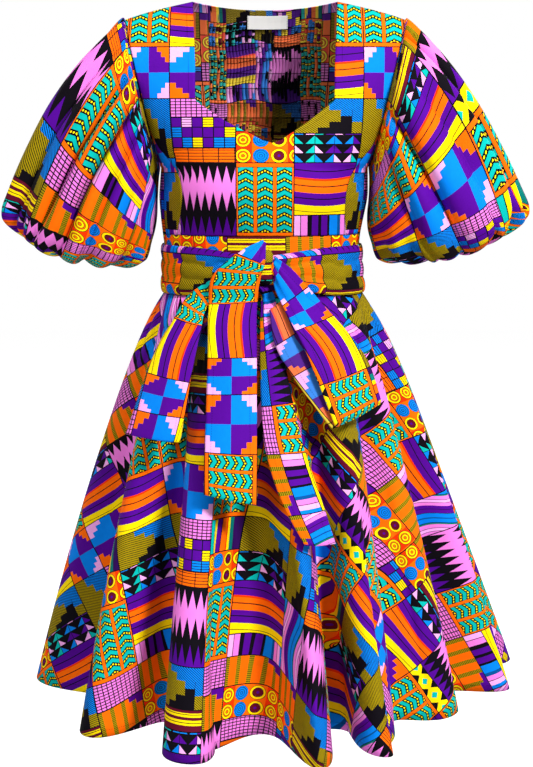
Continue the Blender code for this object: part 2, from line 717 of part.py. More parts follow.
def sleeve_wall(place):
    """Outer and inner point of a sleeve's wall, on the side that its fullest ring gives."""
    ring = [place(k / 8, SLEEVE_FULLEST) for k in range(8)]
    sign = sleeve_sign(place, sum(ring, Vector((0, 0, 0))) / len(ring))

    def pair(u, v):
        step = 0.004
        along_u = place((u + step) % 1.0, v) - place((u - step) % 1.0, v)
        along_v = place(u, min(v + step, 1.0)) - place(u, max(v - step, 0.0))
        normal = along_u.cross(along_v).normalized()
        point = place(u, v)
        return point, point - normal * (sign * CLOTH)

    return pair


def sleeve_sign(place, centre):
    """Which way the surface's normal points halfway down, where the sleeve is fullest."""
    step = 0.004
    v = SLEEVE_FULLEST
    along_u = place(0.25 + step, v) - place(0.25 - step, v)
    along_v = place(0.25, v + step) - place(0.25, v - step)
    outwards = place(0.25, v) - centre
    return 1 if along_u.cross(along_v).dot(outwards) > 0 else -1


def make_sash(finish):
    """Sash round the waistband in three soft folds, drawn together at the knot."""

    def sash(u, v):
        degrees = mix(SASH_START_DEG, SASH_END_DEG, u)
        near = math.exp(-((min(degrees, 360.0 - degrees) / SASH_PINCH_DEG) ** 2))
        low = mix(SASH_LOW_Z, SASH_KNOT_LOW_Z, near)
        high = mix(SASH_TOP_Z, SASH_KNOT_TOP_Z, near)
        return ring_point(degrees, mix(low, high, v), SASH_STAND_OFF)

    def pair(u, v):
        point, normal = normal_at(sash, u, v)
        if normal.dot(from_axis(point)) < 0:
            normal = -normal
        fold = SASH_FOLD * abs(math.sin(math.pi * SASH_FOLDS * v)) ** 0.6
        return point + normal * (CLOTH + fold), point + normal * SASH_BACK_GAP

    dress_in(cloth_wall("sash_belt", pair, SASH_COLUMNS, SASH_ROWS), finish)


def crest_depth(x, z):
    """Depth of the skirt's front crests at a height, less towards the sides."""
    share = 0.0 if z >= SKIRT_SEAM_Z else skirt_spread((SKIRT_SEAM_Z - z) / (SKIRT_SEAM_Z - HEM_Z))
    depth = mix(torso("front", SKIRT_SEAM_Z), HEM_HALF_DEPTH * max(FLUTES["crest"]), share)
    half = mix(torso("half", SKIRT_SEAM_Z), HEM_HALF_WIDTH * SIDE_CREST, share)
    aside = min(abs(x) / half, 0.9)
    return depth * (1 - STRIP_WRAP * (1 - math.sqrt(1 - aside * aside)))


def strip_place(table):
    """Surface of a bow strip: across its width, and along its stations."""

    def place(u, v):
        left = Vector((rows_of(table, "lx", v), 0.0, rows_of(table, "lz", v)))
        right = Vector((rows_of(table, "rx", v), 0.0, rows_of(table, "rz", v)))
        point = left.lerp(right, u)
        crown = STRIP_CROWN * math.sin(math.pi * u)
        point.y = -crest_depth(point.x, point.z) - rows_of(table, "lift", v) - crown
        return point

    return place


def make_strip(name, table, rows, finish):
    """One strip of the bow, a loop or a tail."""
    place = strip_place(table)

    def pair(u, v):
        point, normal = normal_at(place, u, v)
        return point + normal * (CLOTH / 2), point - normal * (CLOTH / 2)

    dress_in(cloth_wall(name, pair, STRIP_COLUMNS, rows), finish)


def make_knot(finish):
    """Knot of the sash, a full rounded lump behind the bow's front tail."""
    shape = bmesh.new()
    bmesh.ops.create_uvsphere(shape, u_segments=16, v_segments=10, radius=1.0)
    for vert in shape.verts:
        x, y, z = vert.co
        pinch = 1.0 - 0.18 * math.cos(4 * math.atan2(x, z)) * (x * x + z * z)
        place = (x * KNOT_HALF[0] * pinch, y * KNOT_HALF[1], z * KNOT_HALF[2] * pinch)
        vert.co = Vector(place) + Vector(KNOT_MIDDLE)
        vert.co.y = min(vert.co.y, KNOT_BACK_Y)
    dress_in(add_mesh("bow_knot", shape), finish)


def make_label(smocked, finish):
    """Blank woven label inside the back neck."""

    def base(u, v):
        x = mix(LABEL_LEFT, LABEL_RIGHT, u)
        top = back_top(abs(x)).z - LABEL_TOP_DROP
        z = mix(top - LABEL_HEIGHT, top, v)
        return smocked_at(smocked, x, z)

    def pair(u, v):
        point, normal = normal_at(base, u, v)
        if normal.dot(from_axis(point)) < 0:
            normal = -normal
        gap = CLOTH + SEAM_GAP
        return point - normal * gap, point - normal * (gap + LABEL_THICKNESS)

    dress_in(cloth_wall("neck_label", pair, 6, 2), finish)


def smocked_at(smocked, x, z):
    """Point of the smocked panel at a place seen from the front."""
    u, v = 0.5, 0.95
    for _ in range(12):
        point = smocked(u, v)
        slope_u = (smocked(u + 0.01, v).x - point.x) / 0.01
        slope_v = (smocked(u, v + 0.01).z - point.z) / 0.01 if v < 0.99 else 0.25
        u = min(max(u + (x - point.x) / slope_u, 0.02), 0.97)
        v = min(max(v + (z - point.z) / slope_v, 0.5), 0.99)
    return smocked(u, v)


def main():
    """Build every piece of the dress."""
    clear_scene()
    dress = bpy.data.collections.new(NAME)
    bpy.context.scene.collection.children.link(dress)
    finishes = {name: make_finish(name) for name in FINISHES}
    make_front(finishes["bodice"])
    smocked = make_back(finishes["bodice"], finishes["back"])
    make_waistband(finishes["band"])
    make_skirt(finishes["skirt"])
    make_sleeves(finishes["sleeve"])
    make_sash(finishes["sash"])
    make_knot(finishes["sash"])
    make_strip("bow_loop_left", LOOP_LEFT, 22, finishes["sash"])
    make_strip("bow_loop_right", LOOP_RIGHT, 20, finishes["sash"])
    make_strip("bow_tail_centre", TAIL_CENTRE, 14, finishes["sash"])
    make_strip("bow_tail_right", TAIL_RIGHT, 10, finishes["sash"])
    make_label(smocked, finishes["label"])


main()
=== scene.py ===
"""Looks of the ankara wax print dress: thin worn cloth, its wax print, and the sewing.

Metres, +Z up. The dress faces -Y and its left side is at +X. Every piece is a grid of
cloth mapped to the worn form of its cut piece, with a flat pattern layer in metres that
the print follows.
"""

from __future__ import annotations

import logging
import math
from dataclasses import dataclass, field, replace
from enum import Enum
from functools import partialmethod
from typing import Callable, Optional, Sequence

import bmesh
import bpy
from bmesh.types import BMesh
from bpy.types import ID, Material, Mesh, Node, NodeSocket, NodeTree, Object
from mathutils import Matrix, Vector


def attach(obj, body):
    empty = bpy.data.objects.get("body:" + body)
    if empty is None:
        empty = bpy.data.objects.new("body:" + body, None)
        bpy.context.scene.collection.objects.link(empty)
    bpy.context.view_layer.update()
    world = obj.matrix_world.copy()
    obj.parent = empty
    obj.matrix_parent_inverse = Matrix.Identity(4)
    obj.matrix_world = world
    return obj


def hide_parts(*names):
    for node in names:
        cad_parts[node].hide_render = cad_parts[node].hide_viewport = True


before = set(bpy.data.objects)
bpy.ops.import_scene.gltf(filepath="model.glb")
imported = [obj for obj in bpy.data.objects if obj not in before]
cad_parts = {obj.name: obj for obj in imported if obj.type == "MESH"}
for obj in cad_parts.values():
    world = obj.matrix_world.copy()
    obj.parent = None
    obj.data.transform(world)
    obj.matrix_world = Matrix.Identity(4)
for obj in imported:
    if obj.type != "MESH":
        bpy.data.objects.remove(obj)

LOG = logging.getLogger("dress")
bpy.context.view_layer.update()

Place = Callable[[float, float], Vector]
Relief = Callable[[float, float, Vector], float]

CLOTH = 0.001
FAR = 0.05
UNDERARM_Z = -0.233
SHOULDER_TIP_Z = -0.023
WAIST_SEAM_Z = -0.326
SKIRT_SEAM_Z = -0.411
HEM_Z = -0.985
UNDERARM_X = 0.149
SHOULDER_TIP_X = 0.1985
NECK_SIDE_X = 0.103
SHOULDER_TURN = 60.0
SIDES = (("left", 1.0), ("right", -1.0))


def mix(low: float, high: float, share: float) -> float:
    """Value between two others."""
    return low + (high - low) * share


def clip(value: float, low: float = 0.0, high: float = 1.0) -> float:
    """Value held between two limits."""
    return min(max(value, low), high)


def furrow(turn: float, sharp: float) -> float:
    """Row of valleys between round crests: 0 on the crests, -1 in the valleys."""
    return abs(math.sin(turn)) ** sharp - 1.0


def bell(value: float, middle: float, spread: float) -> float:
    """Smooth bump of height one about a middle."""
    return math.exp(-(((value - middle) / spread) ** 2))


@dataclass(frozen=True)
class Table:
    """Rows of named columns, read between the rows."""

    columns: dict[str, tuple[float, ...]]

    @staticmethod
    def curve(knots: Sequence[float], values: Sequence[float], at: float) -> float:
        """Value on a smooth curve through rising knots.

        Args:
            knots: Places of the rows.
            values: Values at the rows.
            at: Place to read.

        Returns:
            The value there, held at the ends.
        """
        last = len(knots) - 1
        at = clip(at, knots[0], knots[last])
        step = max(i for i in range(last) if i == 0 or knots[i] <= at)
        slopes = []
        for i in (step, step + 1):
            low, high = max(i - 1, 0), min(i + 1, last)
            slopes.append((values[high] - values[low]) / (knots[high] - knots[low]))
        span = knots[step + 1] - knots[step]
        t = (at - knots[step]) / span
        start = (1 + 2 * t) * (1 - t) ** 2 * values[step] + t * (1 - t) ** 2 * span * slopes[0]
        end = t * t * (3 - 2 * t) * values[step + 1] + t * t * (t - 1) * span * slopes[1]
        return start + end

    def smooth(self, key: str, share: float) -> float:
        """Value where the rows count as evenly spaced from 0 to 1, on a smooth curve."""
        values = self.columns[key]
        return self.curve(range(len(values)), values, share * (len(values) - 1))

    def straight(self, key: str, share: float) -> float:
        """Value where the rows count as evenly spaced from 0 to 1, on straight lines.

        Args:
            key: Name of the column.
            share: Share of the way through the rows.

        Returns:
            The value there.
        """
        values = self.columns[key]
        at = clip(share) * (len(values) - 1)
        step = min(int(at), len(values) - 2)
        return mix(values[step], values[step + 1], at - step)


TORSO = Table({
    "down": (0.2, 0.233, 0.27, 0.3, 0.326, 0.345, 0.38, 0.411, 0.45),
    "half": (0.15, 0.149, 0.1504, 0.147, 0.143, 0.1412, 0.142, 0.144, 0.145),
    "front": (0.113, 0.12, 0.123, 0.114, 0.104, 0.103, 0.1035, 0.105, 0.106),
    "back": (0.112, 0.109, 0.102, 0.095, 0.092, 0.092, 0.093, 0.095, 0.096),
    "mid": (0.0, -0.001, -0.0023, -0.004, -0.0052, -0.0048, -0.004, -0.003, -0.0025),
})

FRONT_LEVELS = Table({
    "in_z": (-0.326, -0.3, -0.27, -0.228, -0.197, -0.1935, -0.168, -0.139, -0.092, -0.045, -0.015, 0.002),
    "neck": (0.0, 0.0, 0.0, 0.0, 0.0, 0.012, 0.056, 0.0965, 0.097, 0.0995, 0.1015, 0.103),
    "out_z": (-0.326, -0.3, -0.27, -0.233, -0.215, -0.209, -0.182, -0.15, -0.106, -0.062, -0.036, -0.023),
    "depth": (0.104, 0.114, 0.123, 0.12, 0.112, 0.111, 0.103, 0.092, 0.073, 0.045, 0.019, 0.0),
    "lean": (0.0, 0.002, 0.005, 0.008, 0.0095, 0.009, 0.003, 0.0, 0.0, 0.0, 0.0, 0.0),
})

BACK_LEVELS = Table({
    "in_z": (-0.326, -0.3, -0.27, -0.228, -0.19, -0.15, -0.105, -0.062, -0.033, -0.0055),
    "out_z": (-0.326, -0.3, -0.27, -0.233, -0.198, -0.154, -0.108, -0.068, -0.041, -0.023),
    "depth": (0.092, 0.095, 0.102, 0.109, 0.112, 0.108, 0.099, 0.085, 0.074, 0.06),
    "turn": (0.0, 0.0, 0.0, 0.0, 0.0, 0.0, 0.03, 0.22, 0.58, 1.0),
})

PRINCESS = Table({
    "z": (-0.34, -0.326, -0.3, -0.268, -0.245, -0.229, -0.209, -0.182),
    "deg": (57.0, 56.5, 52.0, 49.5, 53.5, 60.5, 71.5, 82.0),
})

SLEEVE_RINGS = Table({
    "out_x": (0.1985, 0.206, 0.234, 0.269, 0.306, 0.339, 0.365, 0.376, 0.37, 0.336, 0.3147),
    "out_z": (-0.023, -0.0215, -0.0483, -0.088, -0.1416, -0.2026, -0.2584, -0.288, -0.306, -0.327, -0.308),
    "in_x": (0.15, 0.1518, 0.1525, 0.152, 0.1545, 0.16, 0.166, 0.1755, 0.196, 0.215, 0.2282),
    "in_z": (-0.2335, -0.248, -0.2742, -0.3001, -0.322, -0.34, -0.353, -0.362, -0.367, -0.36, -0.342),
    "front": (0.062, 0.084, 0.101, 0.111, 0.115, 0.114, 0.108, 0.099, 0.084, 0.06, 0.048),
    "back": (0.058, 0.079, 0.094, 0.103, 0.107, 0.106, 0.101, 0.093, 0.08, 0.058, 0.046),
    "sag": (0.0, 0.0, 0.002, 0.004, 0.006, 0.009, 0.012, 0.015, 0.016, 0.012, 0.006),
    "head": (0.0, 0.0035, 0.0035, 0.0015, 0.0, 0.0, 0.0, 0.0, 0.0, 0.0, 0.0),
    "folds": (0.0, 0.002, 0.005, 0.007, 0.008, 0.007, 0.005, 0.003, 0.0, 0.0, 0.0),
    "lumps": (0.0, 0.0, 0.0, 0.0, 0.0, 0.0015, 0.0045, 0.0075, 0.0085, 0.0055, 0.003),
})

FLUTES = Table({
    "crest_from": (-100.0, -46.0, -23.5, 5.5, 19.0, 45.0, 73.0, 97.0, 124.0, 151.0, 176.0, 203.0, 231.0),
    "crest_to": (-80.0, -37.0, -9.5, 12.5, 28.0, 58.0, 81.0, 108.0, 133.0, 162.0, 186.0, 215.0, 241.0),
    "crest": (1.036, 1.08, 1.15, 1.17, 1.12, 0.93, 1.03, 1.105, 1.0, 1.05, 1.0, 1.04, 1.0),
    "valley_from": (-67.0, -34.5, -8.0, 16.5, 36.0, 65.0, 88.0, 114.0, 141.0, 167.0, 192.0, 221.0, 246.0),
    "valley_to": (-60.0, -29.0, 3.5, 20.0, 40.0, 71.0, 91.0, 119.0, 146.0, 172.0, 197.0, 226.0, 251.0),
    "valley": (0.78, 0.74, 0.76, 0.74, 0.78, 0.76, 0.86, 0.8, 0.78, 0.76, 0.78, 0.76, 0.8),
})

TAIL_CENTRE = Table({
    "lx": (-0.003, -0.033, -0.073, -0.078, -0.078, -0.079, -0.081, -0.081),
    "lz": (-0.33, -0.344, -0.379, -0.425, -0.476, -0.54, -0.605, -0.657),
    "rx": (0.0005, 0.0, -0.006, -0.011, -0.011, -0.011, -0.01, -0.01),
    "rz": (-0.333, -0.359, -0.381, -0.421, -0.474, -0.538, -0.606, -0.668),
    "lift": (0.017, 0.0306, 0.0326, 0.031, 0.026, 0.019, 0.0145, 0.012),
})

TAIL_RIGHT = Table({
    "lx": (-0.013, -0.006, -0.007, -0.007, -0.005, 0.001, 0.022, 0.052),
    "lz": (-0.3897, -0.408, -0.445, -0.496, -0.552, -0.605, -0.666, -0.719),
    "rx": (-0.006, 0.012, 0.018, 0.026, 0.039, 0.053, 0.073, 0.093),
    "rz": (-0.3906, -0.404, -0.441, -0.487, -0.548, -0.603, -0.659, -0.718),
    "lift": (0.0127, 0.011, 0.006, 0.005, 0.004, 0.004, 0.0045, 0.0055),
})

LOOP_LEFT = Table({
    "lx": (-0.0308, -0.071, -0.107, -0.13, -0.158, -0.187, -0.19, -0.186, -0.164, -0.138, -0.105, -0.05),
    "lz": (-0.362, -0.383, -0.407, -0.444, -0.496, -0.581, -0.589, -0.58, -0.514, -0.457, -0.425, -0.413),
    "rx": (-0.0303, -0.065, -0.082, -0.088, -0.099, -0.113, -0.116, -0.112, -0.104, -0.092, -0.078, -0.044),
    "rz": (-0.382, -0.408, -0.426, -0.451, -0.505, -0.585, -0.593, -0.585, -0.523, -0.466, -0.445, -0.433),
    "lift": (0.0177, 0.02, 0.024, 0.026, 0.025, 0.018, 0.0125, 0.008, 0.007, 0.007, 0.007, 0.009),
})

LOOP_RIGHT = Table({
    "lx": (0.0119, 0.015, 0.034, 0.053, 0.07, 0.09, 0.093, 0.085, 0.042, 0.014, 0.006),
    "lz": (-0.38, -0.4, -0.436, -0.471, -0.512, -0.562, -0.573, -0.571, -0.516, -0.47, -0.425),
    "rx": (0.0125, 0.038, 0.079, 0.114, 0.141, 0.156, 0.158, 0.149, 0.102, 0.062, 0.027),
    "rz": (-0.352, -0.37, -0.416, -0.454, -0.492, -0.536, -0.547, -0.544, -0.485, -0.441, -0.41),
    "lift": (0.0173, 0.029, 0.035, 0.036, 0.032, 0.024, 0.017, 0.014, 0.015, 0.016, 0.0175),
})


class Dye(Enum):
    """Colours of the wax print, as eight-bit red, green and blue."""

    ORANGE = (250, 104, 0)
    FLAME = (240, 52, 0)
    PURPLE = (78, 2, 138)
    PLUM = (44, 4, 80)
    BLUE = (0, 124, 224)
    SEA = (0, 76, 140)
    TURQUOISE = (0, 176, 168)
    TEAL = (0, 112, 104)
    PINK = (232, 122, 214)
    ROSE = (242, 168, 232)
    YELLOW = (250, 216, 0)
    OLIVE = (158, 136, 0)
    WINE = (92, 10, 36)
    BLACK = (10, 6, 14)

    @property
    def colour(self) -> tuple[float, float, float, float]:
        """The colour in linear light, with its alpha.

        Returns:
            Red, green, blue and alpha.
        """
        linear = []
        for value in self.value:
            share = value / 255
            linear.append(share / 12.92 if share <= 0.04045 else ((share + 0.055) / 1.055) ** 2.4)
        return linear[0], linear[1], linear[2], 1.0


(
    ORANGE, FLAME, PURPLE, PLUM, BLUE, SEA, TURQUOISE, TEAL, PINK, ROSE, YELLOW, OLIVE, WINE, BLACK,
) = Dye


def add_node(tree: NodeTree, kind: str, inputs: Optional[dict] = None, **settings: object) -> Node:
    """Add a shader node.

    Args:
        tree: Node tree to work in.
        kind: Its type, without the word that starts every shader type.
        inputs: Value, Ink or socket for each input.
        settings: The node's own settings.

    Returns:
        The node.
    """
    node = tree.nodes.new(f"ShaderNode{kind}")
    for name, value in settings.items():
        setattr(node, name, value)
    for slot, value in (inputs or {}).items():
        value = value.socket if isinstance(value, Ink) else value
        if isinstance(value, NodeSocket):
            tree.links.new(value, node.inputs[slot])
        else:
            node.inputs[slot].default_value = value
    return node


class Ink:
    """One value worked out over the cloth. Arithmetic on it adds Math nodes."""

    def __init__(self, tree: NodeTree, socket: NodeSocket) -> None:
        """Wrap a socket of a node tree."""
        self.tree = tree
        self.socket = socket

    def math(self, operation: str, *others: "Ink | float") -> "Ink":
        """Result of a Math node fed with this value and others."""
        values = dict(enumerate((self, *others)))
        return Ink(self.tree, add_node(self.tree, "Math", values, operation=operation).outputs[0])

    __add__ = partialmethod(math, "ADD")
    __sub__ = partialmethod(math, "SUBTRACT")
    __mul__ = partialmethod(math, "MULTIPLY")
    __truediv__ = partialmethod(math, "DIVIDE")
    frac = partialmethod(math, "FRACT")
    floor = partialmethod(math, "FLOOR")
    size = partialmethod(math, "ABSOLUTE")
    above = partialmethod(math, "GREATER_THAN")
    below = partialmethod(math, "LESS_THAN")
    most = partialmethod(math, "MAXIMUM")
    least = partialmethod(math, "MINIMUM")
    sine = partialmethod(math, "SINE")

    def ruled(self, pitch: float, share: float) -> "Ink":
        """Lines that repeat at a pitch and cover a share of it."""
        return (self / pitch).frac().below(share)

    def wave(self) -> "Ink":
        """Straight zigzag between 0 and 1 with a repeat of one."""
        return (self.frac() - 0.5).size() * 2.0

    def hypot(self, other: "Ink") -> "Ink":
        """Length of the two values as a step."""
        return (self * self + other * other).math("SQRT")


def parts(tree: NodeTree, vector: NodeSocket) -> list[Ink]:
    """The three numbers of a vector."""
    return [Ink(tree, output) for output in add_node(tree, "SeparateXYZ", {0: vector}).outputs]


def body_place(tree: NodeTree) -> list[Ink]:
    """Place on the piece itself, in metres."""
    return parts(tree, add_node(tree, "TexCoord").outputs["Object"])


def emboss(tree: NodeTree, height: object, strength: float, rise: float) -> None:
    """Raise the surface of a material by a height."""
    bump = add_node(tree, "Bump", {"Strength": strength, "Distance": rise, "Height": height})
    tree.links.new(bump.outputs[0], tree.nodes["Principled BSDF"].inputs["Normal"])


def blank_finish(name: str, roughness: float) -> Material:
    """New material of one roughness.

    Args:
        name: Name to give it.
        roughness: Roughness of its surface.

    Returns:
        The material.
    """
    finish = bpy.data.materials.new(name)
    finish.use_nodes = True
    finish.node_tree.nodes["Principled BSDF"].inputs["Roughness"].default_value = roughness
    return finish


def into_scene(name: str, data: ID) -> Object:
    """New object of the scene.

    Args:
        name: Name to give it.
        data: Mesh, camera or light.

    Returns:
        The object.
    """
    made = bpy.data.objects.new(name, data)
    bpy.context.scene.collection.objects.link(made)
    return made


def mesh_of(shape: BMesh, name: str) -> Mesh:
    """Turn a finished shape into a mesh.

    Args:
        shape: The shape.
        name: Name to give it.

    Returns:
        The mesh.
    """
    mesh = bpy.data.meshes.new(name)
    shape.to_mesh(mesh)
    shape.free()
    return mesh


def lay_flat(shape: BMesh, spots: dict) -> None:
    """Write each point's place on the flat cloth into the pattern layer.

    Args:
        shape: The shape.
        spots: Place of each point on the flat cloth.
    """
    layer = shape.loops.layers.uv["flat"]
    for face in shape.faces:
        for loop in face.loops:
            loop[layer].uv = spots[loop.vert]


class Palette:
    """Colour work in a node tree."""

    def __init__(self, tree: NodeTree) -> None:
        """Keep the tree."""
        self.tree = tree

    def lay(self, under: object, over: object, mask: Ink) -> NodeSocket:
        """Lay one colour over another where a mask is one.

        Args:
            under: Dye or colour socket below.
            over: Dye or colour socket on top.
            mask: Where the top shows.

        Returns:
            The mixed colour's socket.
        """
        colours = [colour.colour if isinstance(colour, Dye) else colour for colour in (under, over)]
        inputs = {0: mask, 6: colours[0], 7: colours[1]}
        return add_node(self.tree, "Mix", inputs, data_type="RGBA").outputs[2]

    def bands(self, value: Ink, stops: Sequence[tuple[float, Dye]]) -> NodeSocket:
        """Flat bands of colour along a value from 0 to 1.

        Args:
            value: Place along the bands.
            stops: Where each band starts, and its dye.

        Returns:
            The colour's socket.
        """
        node = add_node(self.tree, "ValToRGB", {0: value})
        ramp = node.color_ramp
        ramp.interpolation = "CONSTANT"
        for slot, (start, dye) in enumerate(stops):
            stop = ramp.elements[slot] if slot < 2 else ramp.elements.new(start)
            stop.position, stop.color = start, dye.colour
        return node.outputs[0]

    def chance(self, across: Ink, up: Ink, salt: float) -> Ink:
        """Number between 0 and 1 that each cell keeps.

        Args:
            across: Column of the cell.
            up: Row of the cell.
            salt: Sets this use apart from others.

        Returns:
            The number.
        """
        join = add_node(self.tree, "CombineXYZ", {0: across, 1: up, 2: salt})
        noise = add_node(self.tree, "TexWhiteNoise", {"Vector": join.outputs[0]}, noise_dimensions="3D")
        return Ink(self.tree, noise.outputs["Value"])


class Patch(Palette):
    """One block of the print: the place inside it in metres, and the motifs that can fill it."""

    def __init__(self, x: Ink, y: Ink, wide: Ink, tall: Ink) -> None:
        """Keep the place inside the block, and the block's size."""
        super().__init__(x.tree)
        self.x, self.y, self.wide, self.tall = x, y, wide, tall

    @property
    def across(self) -> Ink:
        """Share of the way across the block."""
        return self.x / self.wide

    @property
    def up(self) -> Ink:
        """Share of the way up the block."""
        return self.y / self.tall

    def chevrons(self) -> NodeSocket:
        """Turquoise chevrons on black with yellow dots, between orange bars.

        Returns:
            The colour.
        """
        pitch, step, dot, knots = 0.0230, 0.0118, 0.0012, 6.4
        place = self.across * (self.wide / pitch).math("ROUND")
        fold = (place.frac() - 0.5).size()
        rise = self.y / step + fold * 1.15
        band = rise.frac()
        colour = self.lay(BLACK, TURQUOISE, band.below(0.50))
        dot_x = ((fold * knots + 0.5).frac() - 0.5) * (pitch / knots)
        dot_y = (band - 0.75) * step
        colour = self.lay(colour, YELLOW, dot_x.hypot(dot_y).below(dot))
        colour = self.lay(colour, BLACK, fold.above(0.390))
        colour = self.lay(colour, ORANGE, fold.above(0.412))
        ends = self.y.least(self.tall - self.y)
        outer, inner = 0.0062, 0.0055
        colour = self.lay(colour, BLACK, ends.below(outer))
        return self.lay(colour, ORANGE, ends.below(inner))

    def sunset_bars(self) -> NodeSocket:
        """Purple, orange and yellow bars that bend a little, each with a thin line along it.

        Returns:
            The colour.
        """
        bend = (self.x * 38.0).sine() * 0.05
        return self.bands(self.up + bend, (
            (0.00, YELLOW), (0.09, BLACK), (0.105, YELLOW), (0.22, PURPLE), (0.34, BLACK),
            (0.36, PURPLE), (0.46, ORANGE), (0.58, BLACK), (0.60, ORANGE),
            (0.70, FLAME), (0.74, PURPLE), (0.87, BLACK), (0.89, PURPLE),
        ))

    def upright_bars(self) -> NodeSocket:
        """Pink, purple, black and blue upright bars.

        Returns:
            The colour.
        """
        return self.bands(self.across, (
            (0.00, ROSE), (0.09, BLACK), (0.105, PINK), (0.20, BLACK), (0.27, PURPLE),
            (0.37, BLACK), (0.42, PURPLE), (0.52, BLACK), (0.56, BLUE), (0.70, SEA),
            (0.76, PINK), (0.84, BLACK), (0.855, ROSE), (0.93, BLUE),
        ))

    def teeth(self) -> NodeSocket:
        """Long teeth of black, pink and purple.

        Returns:
            The colour.
        """
        pitch = 0.0117
        spike, drop = (self.x / pitch).wave(), self.up
        colour = self.lay(PURPLE, BLACK, (drop - spike * 0.26).above(0.02))
        colour = self.lay(colour, PINK, (drop + spike * 0.27).above(0.62))
        return self.lay(colour, BLACK, (drop - spike * 0.24).above(0.72))

    def rings(self) -> NodeSocket:
        """Yellow, blue and wine rings on orange.

        Returns:
            The colour.
        """
        cell = 0.0215
        across = self.x / cell + 0.1
        up = self.y / cell + 0.05
        reach = (across.frac() - 0.5).hypot(up.frac() - 0.5) * 2.0
        sun = self.bands(reach, (
            (0.0, ORANGE), (0.16, BLACK), (0.22, YELLOW), (0.42, BLACK), (0.48, ORANGE),
            (0.56, BLACK), (0.62, YELLOW), (0.84, BLACK), (0.92, FLAME),
        ))
        pool = self.bands(reach, (
            (0.0, BLUE), (0.14, BLACK), (0.20, BLUE), (0.40, BLACK), (0.46, BLUE),
            (0.66, BLACK), (0.72, BLUE), (0.86, BLACK), (0.92, ORANGE),
        ))
        wine = self.bands(reach, (
            (0.0, PURPLE), (0.16, WINE), (0.56, BLACK), (0.62, YELLOW), (0.86, BLACK),
            (0.92, ORANGE),
        ))
        third = (across.floor() / 3.0).frac()
        colour = self.lay(sun, pool, third.above(0.2))
        return self.lay(colour, wine, third.above(0.5))

    def triangles(self) -> NodeSocket:
        """Small right triangles of four dyes on black.

        Returns:
            The colour.
        """
        side, gap = 0.0125, 0.07
        across, up = self.x / side, self.y / side
        flip = (across.floor() * 0.5).frac().above(0.25)
        lean = (flip - across.frac()).size()
        fan = self.bands(self.chance(across.floor(), up.floor(), 3.0), (
            (0.0, TURQUOISE), (0.30, ROSE), (0.52, BLUE), (0.74, PURPLE),
        ))
        keep = (lean + up.frac()).below(0.96) * across.frac().above(gap) * up.frac().above(gap)
        return self.lay(BLACK, fan, keep)

    def ladder(self) -> NodeSocket:
        """Purple ground with ruled cells of yellow, blue and pink.

        Returns:
            The colour.
        """
        wide, tall = 0.0135, 0.0140
        across, up = self.x / wide, self.y / tall
        pick = self.chance(across.floor(), up.floor(), 7.0)
        colour = self.bands(pick, (
            (0.0, PURPLE), (0.50, YELLOW), (0.72, BLUE), (0.84, ROSE),
        ))
        rules = self.y.ruled(0.0035, 0.26) * pick.above(0.50)
        posts = across.frac().below(0.10)
        return self.lay(colour, BLACK, rules.most(posts).most(up.frac().below(0.09)))

    def orange_rules(self) -> NodeSocket:
        """Orange ground ruled in black like a ladder.

        Returns:
            The colour.
        """
        rules = self.y.ruled(0.0042, 0.24)
        posts = self.x.ruled(0.0200, 0.06)
        return self.lay(ORANGE, BLACK, rules.most(posts))

    def stair(self, across: Ink, up: Ink, count: float) -> Ink:
        """Whole steps that climb a corner, from 0 to about 2."""
        return ((across * count).floor() + (up * count).floor()) / count

    def steps(self) -> NodeSocket:
        """Quarters of purple and blue with orange and pink stairs in the corners.

        Returns:
            The colour.
        """
        across, up = self.across, self.up
        right, high = across.above(0.5), up.above(0.5)
        chequer = (right - high).size()
        colour = self.lay(PURPLE, BLUE, chequer)
        out_x, out_y = (across - 0.5).size() * 2.0, (up - 0.5).size() * 2.0
        corner = self.stair(out_x, out_y, 5.0).above(1.12)
        stairs = self.lay(ORANGE, ROSE, chequer)
        return self.lay(colour, stairs, corner)

    def orange_steps(self) -> NodeSocket:
        """Orange ground with purple stairs, hatched olive bars between.

        Returns:
            The colour.
        """
        across, up = self.across, self.up
        bar = self.x.ruled(0.0170, 0.36)
        hatch = self.y.ruled(0.0026, 0.34)
        olive = self.lay(OLIVE, BLACK, hatch)
        colour = self.lay(ORANGE, olive, bar)
        return self.lay(colour, PURPLE, self.stair(across, up, 6.0).above(1.45))

    def hatched_steps(self) -> NodeSocket:
        """Olive, blue and black stairs, hatched with slanting lines.

        Returns:
            The colour.
        """
        across, up = self.across, self.up
        colour = self.lay(OLIVE, BLUE, self.stair(across, up, 6.0).above(1.15))
        dark = self.stair(across, up * -1.0 + 1.0, 6.0).above(1.0) * across.below(0.84)
        hatch = (self.x * 0.75 + self.y).ruled(0.0030, 0.36)
        return self.lay(colour, BLACK, dark.most(hatch))

    def pink_net(self) -> NodeSocket:
        """Pink ground under a black net.

        Returns:
            The colour.
        """
        lines = self.y.ruled(0.0042, 0.30)
        posts = self.x.ruled(0.0066, 0.20)
        return self.lay(PINK, BLACK, lines.most(posts))

    def wine_bars(self) -> NodeSocket:
        """Wine and yellow bars.

        Returns:
            The colour.
        """
        return self.bands((self.y / 0.0240).frac(), (
            (0.0, WINE), (0.34, YELLOW), (0.46, BLACK), (0.50, YELLOW), (0.62, WINE),
            (0.78, YELLOW), (0.90, BLACK), (0.94, YELLOW),
        ))

